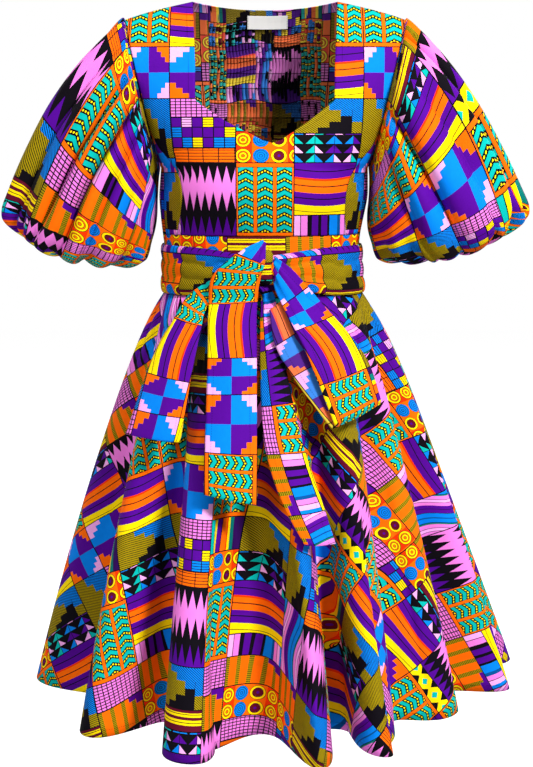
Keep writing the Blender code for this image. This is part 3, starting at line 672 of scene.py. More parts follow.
    def wavy_bars(self) -> NodeSocket:
        """Blue, purple and pink upright bars that swing from side to side.

        Returns:
            The colour.
        """
        swing = (self.y * (math.tau / 0.150)).sine() * 0.20
        return self.bands((self.x / 0.046 + swing + 1.0).frac(), (
            (0.00, PINK), (0.12, BLACK), (0.135, ROSE), (0.22, BLACK), (0.235, PINK),
            (0.34, PURPLE), (0.46, BLACK), (0.475, PURPLE), (0.60, BLACK), (0.62, BLUE),
            (0.76, SEA), (0.80, BLUE), (0.93, BLACK), (0.95, TEAL),
        ))

    def diamonds(self) -> NodeSocket:
        """Yellow ground with black hourglasses and turquoise diamonds.

        Returns:
            The colour.
        """
        across = ((self.x / 0.0235).frac() - 0.5).size()
        up = (self.up - 0.5).size()
        colour = self.lay(YELLOW, BLACK, (up - across * 1.35).above(0.10))
        return self.lay(colour, TURQUOISE, (up - across * 1.2).below(-0.34))

    def tall_bars(self) -> NodeSocket:
        """Orange, purple, turquoise, yellow and black upright bars.

        Returns:
            The colour.
        """
        return self.bands(self.across, (
            (0.0, TURQUOISE), (0.13, BLACK), (0.15, YELLOW), (0.26, PURPLE), (0.40, BLACK),
            (0.42, ORANGE), (0.58, FLAME), (0.62, YELLOW), (0.70, TEAL), (0.84, PLUM),
        ))


class Motif(Enum):
    """Traditional fillings of the blocks."""

    CHEVRONS = 0
    SUNSET_BARS = 1
    UPRIGHT_BARS = 2
    TEETH = 3
    RINGS = 4
    TRIANGLES = 5
    LADDER = 6
    ORANGE_RULES = 7
    STEPS = 8
    HATCHED_STEPS = 9
    PINK_NET = 10
    WINE_BARS = 11
    DIAMONDS = 12
    TALL_BARS = 13
    WAVY_BARS = 14
    ORANGE_STEPS = 15


@dataclass(frozen=True)
class Column:
    """One column of the print's repeat: where it ends, and its blocks upwards."""

    right: float
    blocks: tuple[tuple[Motif, float], ...]


@dataclass(frozen=True)
class WaxPrint:
    """Patchwork wax print, charted as blocks of traditional motifs."""

    repeat_wide: float = 0.290
    repeat_tall: float = 0.440
    rim: float = 0.0007
    columns: tuple[Column, ...] = (
        Column(0.052, (
            (Motif.WAVY_BARS, 0.108), (Motif.HATCHED_STEPS, 0.190), (Motif.STEPS, 0.262),
            (Motif.CHEVRONS, 0.330), (Motif.LADDER, 0.352), (Motif.RINGS, 0.395),
            (Motif.ORANGE_STEPS, 0.440),
        )),
        Column(0.134, (
            (Motif.TEETH, 0.102), (Motif.ORANGE_RULES, 0.122), (Motif.LADDER, 0.164),
            (Motif.PINK_NET, 0.190), (Motif.STEPS, 0.262), (Motif.SUNSET_BARS, 0.330),
            (Motif.TRIANGLES, 0.358), (Motif.WINE_BARS, 0.386), (Motif.HATCHED_STEPS, 0.440),
        )),
        Column(0.204, (
            (Motif.CHEVRONS, 0.102), (Motif.RINGS, 0.145), (Motif.TALL_BARS, 0.190),
            (Motif.CHEVRONS, 0.262), (Motif.DIAMONDS, 0.286), (Motif.TEETH, 0.358),
            (Motif.ORANGE_STEPS, 0.402), (Motif.PINK_NET, 0.440),
        )),
        Column(0.290, (
            (Motif.UPRIGHT_BARS, 0.030), (Motif.SUNSET_BARS, 0.102), (Motif.TRIANGLES, 0.142),
            (Motif.HATCHED_STEPS, 0.190), (Motif.SUNSET_BARS, 0.262), (Motif.CHEVRONS, 0.330),
            (Motif.PINK_NET, 0.358), (Motif.RINGS, 0.401), (Motif.ORANGE_STEPS, 0.440),
        )),
    )

    def group(self) -> NodeTree:
        """Node group that gives the print's colour at a place on the flat cloth.

        Returns:
            The group.
        """
        tree = bpy.data.node_groups.new("wax_print", "ShaderNodeTree")
        tree.interface.new_socket("Cloth", in_out="INPUT", socket_type="NodeSocketVector")
        tree.interface.new_socket("Colour", in_out="OUTPUT", socket_type="NodeSocketColor")
        source = tree.nodes.new("NodeGroupInput")
        target = tree.nodes.new("NodeGroupOutput")
        x, y, _ = parts(tree, source.outputs[0])
        x = (x / self.repeat_wide).frac() * self.repeat_wide
        y = (y / self.repeat_tall).frac() * self.repeat_tall
        patch, kind = self.blocks(x, y)
        colour: object = ORANGE
        for motif in Motif:
            filling = getattr(patch, motif.name.lower())()
            colour = patch.lay(colour, filling, (kind - float(motif.value)).size().below(0.5))
        rim = patch.x.least(patch.wide - patch.x).least(patch.y.least(patch.tall - patch.y))
        colour = patch.lay(colour, BLACK, rim.below(self.rim))
        tree.links.new(colour, target.inputs[0])
        return tree

    def blocks(self, x: Ink, y: Ink) -> tuple[Patch, Ink]:
        """Find the block that each place lies in.

        Args:
            x: Place across the repeat.
            y: Place up the repeat.

        Returns:
            The place inside its block, and the number of its motif.
        """
        left, fields = 0.0, None
        for column in self.columns:
            low = y * 0.0
            tall = low + column.blocks[0][1]
            kind = low + float(column.blocks[0][0].value)
            previous = (0.0, column.blocks[0][1], float(column.blocks[0][0].value))
            for (_, start), (motif, top) in zip(column.blocks, column.blocks[1:]):
                here = y.above(start)
                values = (start, top - start, float(motif.value))
                steps = [now - before for now, before in zip(values, previous)]
                low = here.math("MULTIPLY_ADD", steps[0], low)
                tall = here.math("MULTIPLY_ADD", steps[1], tall)
                kind = here.math("MULTIPLY_ADD", steps[2], kind)
                previous = values
            wide = column.right - left
            found = [y - low, tall, kind, x - left, y * 0.0 + wide]
            if fields is None:
                fields = found
            else:
                here = x.above(left)
                fields = [here.math("MULTIPLY_ADD", new - old, old) for new, old in zip(found, fields)]
            left = column.right
        return Patch(fields[3], fields[0], fields[4], fields[1]), fields[2]


@dataclass(frozen=True)
class CottonFace:
    """Woven cotton with its seams and stitching, as tint and height over the cloth; the tint also holds
    painted shade in the seams and along the folded hems.
    """

    thread: float = 0.0007
    stitch_from_edge: float = 0.0095
    stitch_length: float = 0.0036
    stitch_wide: float = 0.0006
    seam_wide: float = 0.0022
    fold_wide: float = 0.0016
    pucker_pitch: float = 0.0046
    slub_scale: float = 120.0

    def group(self) -> NodeTree:
        """Node group with the weave, slubs, painted shade in the seams and at the folded hems, and
        topstitching.

        Returns:
            The group.
        """
        tree = bpy.data.node_groups.new("cotton_face", "ShaderNodeTree")
        for name, kind in (("Cloth", "Vector"), ("Seam", "Float"), ("Hem", "Float")):
            tree.interface.new_socket(name, in_out="INPUT", socket_type=f"NodeSocket{kind}")
        for name in ("Tint", "Height"):
            tree.interface.new_socket(name, in_out="OUTPUT", socket_type="NodeSocketFloat")
        source = tree.nodes.new("NodeGroupInput")
        target = tree.nodes.new("NodeGroupOutput")
        x, y, _ = parts(tree, source.outputs["Cloth"])
        seam, hem = Ink(tree, source.outputs["Seam"]), Ink(tree, source.outputs["Hem"])
        warp = (x * (math.tau / self.thread)).sine()
        weft = (y * (math.tau / self.thread)).sine()
        weave = warp * weft
        inputs = {"Scale": self.slub_scale, "Detail": 3.0, "Vector": source.outputs["Cloth"]}
        noise = add_node(tree, "TexNoise", inputs)
        slub = Ink(tree, noise.outputs[0]) - 0.5
        row = (hem - self.stitch_from_edge).size().below(self.stitch_wide)
        dash = x.ruled(self.stitch_length, 0.62)
        stitch = row * dash
        # At the seams the bump sinks, and the tint below paints shade into the seam.
        seam_groove_shade = (seam / self.seam_wide).least(1.0)
        # At the folded hem edge the bump sinks, and the tint below paints shade along the edge.
        fold = (hem / self.fold_wide).least(1.0)
        tint = weave * 0.03 + slub * 0.16 + 1.0
        # Painted shade: up to a third darker in the seams, a little darker at the folded hem edges.
        tint = tint * (seam_groove_shade * 0.34 + 0.66) * (fold * 0.12 + 0.88)
        tint = tint * (stitch * -0.35 + 1.0)
        near = (seam / -0.010 + 1.0).most(0.0)
        pucker = (y / self.pucker_pitch + x / self.pucker_pitch).wave() * near * 0.35
        height = weave * 0.10 + slub * 0.5 + seam_groove_shade + fold * 0.5 + pucker
        height = height + stitch * 0.6 + hem.below(self.stitch_from_edge + 0.0015) * 0.5
        tree.links.new(tint.socket, target.inputs["Tint"])
        tree.links.new(height.socket, target.inputs["Height"])
        return tree


@dataclass(frozen=True)
class PrintedCotton:
    """Printed cotton finish of one side of the cloth."""

    name: str
    print_group: NodeTree
    face_group: NodeTree
    shift: tuple[float, float]
    # shade scales the side's brightness; below 1 it is painted shade, used for the wrong side.
    shade: float = 1.0
    saturation: float = 1.0
    elastic: bool = False
    roughness: float = 0.78
    sheen: float = 0.07
    thread_shade: float = 0.75
    relief: tuple[float, float] = (0.35, 0.0006)

    def material(self) -> Material:
        """Build the material.

        Returns:
            The material.
        """
        finish = blank_finish(self.name, self.roughness)
        tree = finish.node_tree
        shader = tree.nodes["Principled BSDF"]
        shader.inputs["Specular IOR Level"].default_value = self.sheen
        flat = add_node(tree, "UVMap", uv_map="flat").outputs[0]
        place = add_node(tree, "Mapping", {0: flat, "Location": (*self.shift, 0.0)}).outputs[0]
        chart = add_node(tree, "Group", node_tree=self.print_group)
        tree.links.new(place, chart.inputs["Cloth"])
        face = add_node(tree, "Group", node_tree=self.face_group)
        tree.links.new(flat, face.inputs["Cloth"])
        for name in ("Seam", "Hem"):
            edge = add_node(tree, "Attribute", attribute_name=name.lower())
            tree.links.new(edge.outputs["Fac"], face.inputs[name])
        # Cloth tint with its painted seam and hem shade, times the side's painted shade.
        tint = Ink(tree, face.outputs["Tint"]) * self.shade
        if self.elastic:
            tint = tint * (self.thread_rows(tree) * -self.thread_shade + 1.0)
        inputs = {"Saturation": self.saturation, "Color": chart.outputs["Colour"], "Value": tint}
        fade = add_node(tree, "HueSaturation", inputs)
        tree.links.new(fade.outputs[0], shader.inputs["Base Color"])
        emboss(tree, face.outputs["Height"], *self.relief)
        return finish

    def thread_rows(self, tree: NodeTree) -> Ink:
        """Mask of the black elastic thread that runs along each smocked row.

        Args:
            tree: Node tree to work in.

        Returns:
            The mask.
        """
        z = body_place(tree)[2]
        row = ((z - SmockedBack.top_z) / SmockedBack.pitch + 0.5).frac() - 0.5
        return row.size().below(0.040) * z.below(SmockedBack.top_z + 0.002)


class Edge(Enum):
    """What each side of a cloth piece is."""

    SEAM = "seam"
    HEM = "hem"
    PLAIN = "plain"


@dataclass
class ClothPiece:
    """One piece of cloth as a mapped grid with a flat pattern layer and a thin wall."""

    node: str
    place: Place
    columns: int
    rows: int
    slot: str
    held: str
    label: str = ""
    flat: Optional[Callable[[float, float], tuple[float, float]]] = None
    closed: bool = False
    relief: Optional[Relief] = None
    edges: tuple[Edge, Edge, Edge, Edge] = (Edge.SEAM, Edge.SEAM, Edge.SEAM, Edge.SEAM)
    rests_on: tuple[str, ...] = ()
    outward: Optional[Callable[[Vector], Vector]] = None
    made: Optional[Object] = field(default=None, init=False)

    @property
    def name(self) -> str:
        """Name of the finished cloth."""
        return f"{self.label or self.node}_cloth"

    def points(self) -> list[list[Vector]]:
        """Places of the grid's points, row by row.

        Returns:
            The points.
        """
        grid = []
        for j in range(self.rows + 1):
            v = j / self.rows
            grid.append([self.place(i / self.columns, v) for i in range(self.columns + 1)])
        if self.relief is None:
            return grid
        moved = []
        for j, row in enumerate(grid):
            line = []
            for i, point in enumerate(row):
                normal = self.normal(grid, i, j)
                line.append(point + normal * self.relief(i / self.columns, j / self.rows, point))
            moved.append(line)
        return moved

    def normal(self, grid: list[list[Vector]], i: int, j: int) -> Vector:
        """Direction square to the cloth at a point of the grid, facing out.

        Args:
            grid: The grid's points, row by row.
            i: Column of the point.
            j: Row of the point.

        Returns:
            The direction, of length one.
        """
        if self.closed:
            last = self.columns
            along_u = grid[j][(i + 1) % last] - grid[j][(i - 1) % last]
        else:
            along_u = grid[j][min(i + 1, self.columns)] - grid[j][max(i - 1, 0)]
        along_v = grid[min(j + 1, self.rows)][i] - grid[max(j - 1, 0)][i]
        normal = along_u.cross(along_v)
        if normal.length < 1e-12:
            return self.away(grid[j][i])
        normal.normalize()
        return normal if normal.dot(self.away(grid[j][i])) >= 0 else -normal

    def away(self, point: Vector) -> Vector:
        """Direction that counts as outwards at a point."""
        return self.outward(point) if self.outward else Vector((point.x, point.y, 0.0)).normalized()

    def build(self, outside: Material, inside: Material) -> Object:
        """Args:
            outside: Finish of the face.
            inside: Finish of the wrong side.

        Returns:
            The finished object.
        """
        grid = self.points()
        shape = bmesh.new()
        seam = shape.verts.layers.float.new("seam")
        hem = shape.verts.layers.float.new("hem")
        shape.loops.layers.uv.new("flat")
        made = bmesh.ops.create_grid(shape, x_segments=self.columns, y_segments=self.rows, size=0.5)
        order = sorted(made["verts"], key=lambda vert: (round(vert.co.y, 5), vert.co.x))
        across = self.columns + 1
        lines = [order[j * across:(j + 1) * across] for j in range(self.rows + 1)]
        sizes = self.lengths(grid)
        spots = {}
        for j, line in enumerate(lines):
            for i, vert in enumerate(line):
                vert.co = grid[j][i]
                vert[seam] = self.edge_distance(sizes, i, j, Edge.SEAM)
                vert[hem] = self.edge_distance(sizes, i, j, Edge.HEM)
                spots[vert] = self.flat_spot(sizes, i, j)
        lay_flat(shape, spots)
        if self.closed:
            bmesh.ops.weld_verts(shape, targetmap={line[-1]: line[0] for line in lines})
        shape.normal_update()
        ways = ((face.normal, self.away(face.calc_center_median())) for face in shape.faces)
        facing = sum((normal.dot(away) for normal, away in ways), 0.0)
        if facing < 0:
            bmesh.ops.reverse_faces(shape, faces=shape.faces)
        mesh = mesh_of(shape, self.name)
        mesh.shade_smooth()
        self.made = into_scene(self.name, mesh)
        mesh.materials.append(outside)
        mesh.materials.append(inside)
        wall = self.made.modifiers.new("wall", "SOLIDIFY")
        wall.thickness = CLOTH
        wall.offset = -1.0
        wall.material_offset = 1
        wall.material_offset_rim = 0
        self.declare(sizes)
        return self.made

    def lengths(self, grid: list[list[Vector]]) -> tuple[list[list[float]], list[list[float]]]:
        """Distance along every row and up every column, at each point.

        Args:
            grid: The grid's points, row by row.

        Returns:
            The lengths along the rows and up the columns.
        """
        along = [[0.0] for _ in grid]
        for j, row in enumerate(grid):
            for a, b in zip(row, row[1:]):
                along[j].append(along[j][-1] + (b - a).length)
        up = [[0.0] * len(grid[0])]
        for low, high in zip(grid, grid[1:]):
            up.append([before + (b - a).length for before, a, b in zip(up[-1], low, high)])
        return along, up

    def edge_distance(self, sizes: tuple, i: int, j: int, kind: Edge) -> float:
        """Distance from a point to the nearest edge of one kind, no more than FAR.

        Args:
            sizes: Lengths along the rows and up the columns.
            i: Column of the point.
            j: Row of the point.
            kind: Kind of edge.

        Returns:
            The distance.
        """
        along, up = sizes
        ways = (along[j][i], along[j][-1] - along[j][i], up[j][i], up[-1][i] - up[j][i])
        found = [way for way, edge in zip(ways, self.edges) if edge is kind]
        return min(found + [FAR])

    def flat_spot(self, sizes: tuple, i: int, j: int) -> tuple[float, float]:
        """Place of a point on the flat cloth, in metres.

        Args:
            sizes: Lengths along the rows and up the columns.
            i: Column of the point.
            j: Row of the point.

        Returns:
            Its place across and up.
        """
        if self.flat:
            return self.flat(i / self.columns, j / self.rows)
        along, up = sizes
        centre = self.columns // 2
        return along[j][i] - along[j][centre], up[j][centre]

    def declare(self, sizes: tuple) -> None:
        """Hang the piece on the root, hide its part of the model, and log its size and area of cloth.

        Args:
            sizes: Lengths along the rows and up the columns.
        """
        along, up = sizes
        wide = max(row[-1] for row in along)
        tall = max(up[-1])
        area = 0.0
        for j in range(self.rows):
            mean = (along[j][-1] + along[j + 1][-1]) / 2
            rise = sum(b - a for a, b in zip(up[j], up[j + 1])) / len(up[j])
            area += mean * rise
        area = min(area, wide * tall)
        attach(self.made, "root")
        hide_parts(self.node)
        LOG.info("%s: %.3f x %.3f m, %.3f m2 of cloth", self.name, wide, tall, area)


@dataclass(frozen=True)
class Body:
    """The worn torso that the bodice and the waist follow."""

    bust_fullness: float = 0.006
    bust_deg: float = 33.0
    bust_spread_deg: float = 20.0
    bust_z: float = -0.256
    bust_spread_z: float = 0.042

    def at(self, key: str, z: float) -> float:
        """Half width, depth or middle of the torso at a height."""
        return TORSO.curve(TORSO.columns["down"], TORSO.columns[key], -z)

    def side_edge(self, z: float, depth: float) -> tuple[float, float]:
        """Side of the bodice at a height: the side seam, or the armhole above it.

        Args:
            z: Height.
            depth: How far the armhole is cut in.

        Returns:
            Its distance from the middle, and how far it is cut in.
        """
        if z <= UNDERARM_Z:
            return self.at("half", z), 0.0
        middle_z = (SHOULDER_TIP_Z + UNDERARM_Z) / 2
        half_z = (SHOULDER_TIP_Z - UNDERARM_Z) / 2
        rise = clip((z - middle_z) / half_z, -1.0)
        x = mix(UNDERARM_X, SHOULDER_TIP_X, (rise + 1) / 2)
        return x, depth * math.sqrt(1 - rise * rise)

    def turn_at(self, z: float) -> float:
        """Degrees from the middle at which a level meets its side edge."""
        rise = clip((z - UNDERARM_Z) / (SHOULDER_TIP_Z - UNDERARM_Z))
        return mix(90.0, SHOULDER_TURN, rise)

    def bust(self, angle: float, z: float) -> float:
        """Fullness that the cut gives over the bust."""
        round_front = bell(math.degrees(angle), self.bust_deg, self.bust_spread_deg)
        return self.bust_fullness * round_front * bell(z, self.bust_z, self.bust_spread_z)

    def ring(self, degrees: float, z: float, stand_off: float = 0.0) -> Vector:
        """Point round the waist at degrees from the front middle.

        Args:
            degrees: Turn from the front middle.
            z: Height.
            stand_off: Distance out from the body.

        Returns:
            The point.
        """
        angle = math.radians(degrees)
        depth = self.at("front" if math.cos(angle) >= 0 else "back", z) + stand_off
        x = self.at("mid", z) + (self.at("half", z) + stand_off) * math.sin(angle)
        return Vector((x, -depth * math.cos(angle), z))


@dataclass(frozen=True)
class FrontBodice:
    """Centre front and side fronts."""

    body: Body = field(default_factory=Body)
    round_z: float = -0.24
    flatten_over: float = 0.16
    round_radius: float = 0.158
    flat_radius: float = 0.60
    ease: float = 0.87
    armhole: float = 0.062
    princess_top: float = 12.0 / 22.0
    drag_depth: float = 0.0011
    pull_depth: float = 0.0008

    def point(self, across: float, up: float, side: float) -> Vector:
        """Point across from the middle or neck edge to the side.

        Args:
            across: Share of the way across.
            up: Share of the way up.
            side: 1 on the left and -1 on the right.

        Returns:
            The point.
        """
        in_z = FRONT_LEVELS.straight("in_z", up)
        out_z = FRONT_LEVELS.smooth("out_z", up)
        neck = FRONT_LEVELS.straight("neck", up)
        depth = FRONT_LEVELS.smooth("depth", up)
        side_x, side_y = self.body.side_edge(out_z, self.armhole)
        turn = math.radians(self.body.turn_at(out_z))
        start = math.asin(neck / side_x * math.sin(turn))
        angle = mix(start, turn, across)
        z = mix(in_z, out_z, across)
        x = side * side_x * math.sin(angle) / math.sin(turn)
        x += FRONT_LEVELS.smooth("lean", up) * (1 - across) ** 2 + self.body.at("mid", z)
        y = -depth + (depth - side_y) * (1 - math.cos(angle)) / (1 - math.cos(turn))
        return Vector((x, y - self.body.bust(angle, z), z))

    def princess(self, up: float) -> float:
        """Share of the way across at which the princess seam runs.

        Args:
            up: Share of the way up.

        Returns:
            The share.
        """
        if up > self.princess_top + 0.005:
            return 1.0
        out_z = FRONT_LEVELS.smooth("out_z", up)
        degrees = PRINCESS.curve(PRINCESS.columns["z"], PRINCESS.columns["deg"], out_z)
        return degrees / self.body.turn_at(out_z)

    def crease(self, u: float, v: float, point: Vector) -> float:
        """Drag lines from the underarm and above the waist.

        Args:
            u: Share across; not used.
            v: Share up; not used.
            point: Place on the worn cloth.

        Returns:
            How far the cloth moves out.
        """
        lines = math.sin(190 * (point.z + 0.35 * abs(point.x)))
        drag = self.drag_depth * bell(point.z, -0.225, 0.035) * lines
        pull = self.pull_depth * bell(point.z, -0.318, 0.014) * math.sin(240 * point.x + 1.0)
        return min(drag * bell(abs(point.x), 0.125, 0.045) + pull, 0.0)

    def build(self, finishes: "Finishes") -> None:
        """Make the centre front's two halves and the side fronts.

        Args:
            finishes: Finishes of the dress.
        """
        level = 8.0 / 22.0

        def lower(u: float, v: float) -> Vector:
            """Point of the piece below both yokes.

            Args:
                u: Share across.
                v: Share up.

            Returns:
                The point.
            """
            side = 1.0 if u >= 0.5 else -1.0
            up = v * level
            return self.point(abs(2 * u - 1) * self.princess(up), up, side)

        front = ClothPiece(
            "bodice_front", lower, 84, 40, "bodice", "stretched",
            flat=lambda u, v: self.spot(lower(u, v)), relief=self.crease,
            edges=(Edge.SEAM, Edge.SEAM, Edge.SEAM, Edge.PLAIN),
        )
        front.build(*finishes.bodice)
        for name, side in SIDES:

            def upper(u: float, v: float, side: float = side) -> Vector:
                """Point of one yoke."""
                up = mix(level, 1.0, v)
                return self.point(u * self.princess(up), up, side)

            piece = ClothPiece(
                "bodice_front", upper, 34, 90, "bodice", "stretched", f"bodice_yoke_{name}",
                flat=lambda u, v, place=upper: self.spot(place(u, v)), relief=self.crease,
                edges=(Edge.HEM, Edge.SEAM, Edge.PLAIN, Edge.SEAM),
            )
            piece.build(*finishes.bodice)

            def flank(u: float, v: float, side: float = side) -> Vector:
                """Point of one side panel."""
                up = v * self.princess_top
                return self.point(mix(self.princess(up), 1.0, u), up, side)

            piece = ClothPiece(
                f"bodice_side_front_{name}", flank, 20, 44, "bodice", "stretched", relief=self.crease,
            )
            piece.build(*finishes.flank)

    def spot(self, point: Vector) -> tuple[float, float]:
        """Place on the flat cloth of the centre front.

        Args:
            point: Place on the worn cloth.

        Returns:
            Its place across and up.
        """
        rise = clip((point.z - self.round_z) / self.flatten_over)
        radius = mix(self.round_radius, self.flat_radius, rise)
        turn = math.asin(clip(point.x / radius, -0.98, 0.98))
        return self.ease * radius * turn, point.z - WAIST_SEAM_Z


@dataclass(frozen=True)
class SmockedBack:
    """Smocked centre back and the smooth side backs."""

    body: Body = field(default_factory=Body)
    armhole: float = 0.058
    half_width: float = 0.083
    neck_z: float = -0.0055
    neck_drop: float = 0.0075
    neck_depth: float = 0.060
    roundness: float = 2.2
    rise: float = 0.0030
    seam_fade: float = 0.008
    gather: float = 0.0009
    gather_pitch: float = 0.0048
    drawn_in: float = 2.0
    top_z = -0.030
    pitch = 0.0216

    def top(self, x: float) -> Vector:
        """Top edge at a distance from the middle: the neck, then the shoulder.

        Args:
            x: Distance from the middle.

        Returns:
            The point.
        """
        if x <= NECK_SIDE_X:
            share = (x / NECK_SIDE_X) ** self.roundness
            return Vector((x, self.neck_depth * (1 - share), self.neck_z + self.neck_drop * share))
        share = (x - NECK_SIDE_X) / (SHOULDER_TIP_X - NECK_SIDE_X)
        return Vector((x, 0.0, mix(self.neck_z + self.neck_drop, SHOULDER_TIP_Z, share)))

    def share(self, up: float) -> float:
        """Share of the way across at which the smocked panel ends.

        Args:
            up: Share of the way up.

        Returns:
            The share.
        """
        out_z = BACK_LEVELS.smooth("out_z", up)
        side_x, _ = self.body.side_edge(out_z, self.armhole)
        turn = math.radians(self.body.turn_at(out_z))
        return math.asin(self.half_width / side_x * math.sin(turn)) / turn

    def point(self, across: float, up: float, side: float) -> Vector:
        """Point of the back across from the middle to the side.

        Args:
            across: Share of the way across.
            up: Share of the way up.
            side: 1 on the left and -1 on the right.

        Returns:
            The point.
        """
        in_z, out_z = BACK_LEVELS.smooth("in_z", up), BACK_LEVELS.smooth("out_z", up)
        depth = BACK_LEVELS.smooth("depth", up)
        side_x, side_y = self.body.side_edge(out_z, self.armhole)
        turn = math.radians(self.body.turn_at(out_z))
        angle = turn * across
        x = side_x * math.sin(angle) / math.sin(turn)
        y = depth - (depth - side_y) * (1 - math.cos(angle)) / (1 - math.cos(turn))
        point = Vector((x, y, mix(in_z, out_z, across)))
        share = self.share(up)
        if across <= share:
            top_x = self.half_width * across / share
        else:
            beyond = (across - share) / (1 - share)
            if beyond < 0.2:
                top_x = mix(self.half_width, NECK_SIDE_X, beyond / 0.2)
            else:
                top_x = mix(NECK_SIDE_X, SHOULDER_TIP_X, (beyond - 0.2) / 0.8)
        turned = clip(BACK_LEVELS.smooth("turn", up))
        point = point.lerp(self.top(top_x), turned)
        return Vector((side * point.x + self.body.at("mid", point.z), point.y, point.z))

    def puffs(self, u: float, v: float, point: Vector) -> float:
        """Puffs between the elastic rows, broken by fine gathers.

        Args:
            u: Share across; not used.
            v: Share up; not used.
            point: Place on the worn cloth.

        Returns:
            How far the cloth moves out.
        """
        ripple = math.cos(math.tau * point.x / self.gather_pitch + 1.7 * math.sin(95 * point.z))
        if point.z > self.top_z:
            return self.gather * ripple * bell(point.z, self.top_z, 0.010)
        puff = abs(math.sin(math.pi * (point.z - self.top_z) / self.pitch)) ** 0.7
        free = clip((point.z - WAIST_SEAM_Z) / self.seam_fade)
        return free * (self.rise * puff * (0.86 + 0.14 * ripple) + self.gather * ripple)

    def spot(self, point: Vector) -> tuple[float, float]:
        """Place on the flat cloth before it was drawn in by the elastic."""
        tuck = math.sin(math.tau * point.x / self.gather_pitch + 1.7 * math.sin(95 * point.z))
        return point.x * self.drawn_in + 0.0022 * tuck, point.z * 1.25 + 0.004 * math.sin(70 * point.x)

    def build(self, finishes: "Finishes") -> None:
        """Make the smocked panel and both side backs.

        Args:
            finishes: Finishes of the dress.
        """

        def smocked(u: float, v: float) -> Vector:
            """Point of the smocked panel."""
            side = 1.0 if u >= 0.5 else -1.0
            return self.point(abs(2 * u - 1) * self.share(v), v, side)

        panel = ClothPiece(
            "bodice_back_smocked", smocked, 160, 150, "back", "gathered",
            relief=self.puffs, edges=(Edge.SEAM, Edge.SEAM, Edge.SEAM, Edge.HEM),
            flat=lambda u, v: self.spot(smocked(u, v)),
        )
        panel.build(*finishes.smocked)
        for name, side in SIDES:

            def flank(u: float, v: float, side: float = side) -> Vector:
                """Point of one side panel."""
                return self.point(mix(self.share(v), 1.0, u), v, side)

            piece = ClothPiece(f"bodice_side_back_{name}", flank, 24, 70, "bodice", "stretched")
            piece.build(*finishes.flank)


@dataclass(frozen=True)
class Waist:
    """Waistband under the sash."""

    body: Body = field(default_factory=Body)

    def build(self, finishes: "Finishes") -> None:
        """Make the front and back bands.

        Args:
            finishes: Finishes of the dress.
        """
        for name, start in (("front", -90.0), ("back", 90.0)):

            def band(u: float, v: float, start: float = start) -> Vector:
                """Point of one band."""
                return self.body.ring(start + 180.0 * u, mix(SKIRT_SEAM_Z, WAIST_SEAM_Z, v))

            piece = ClothPiece(f"waistband_{name}", band, 90, 14, "band", "stretched")
            piece.build(*finishes.band)


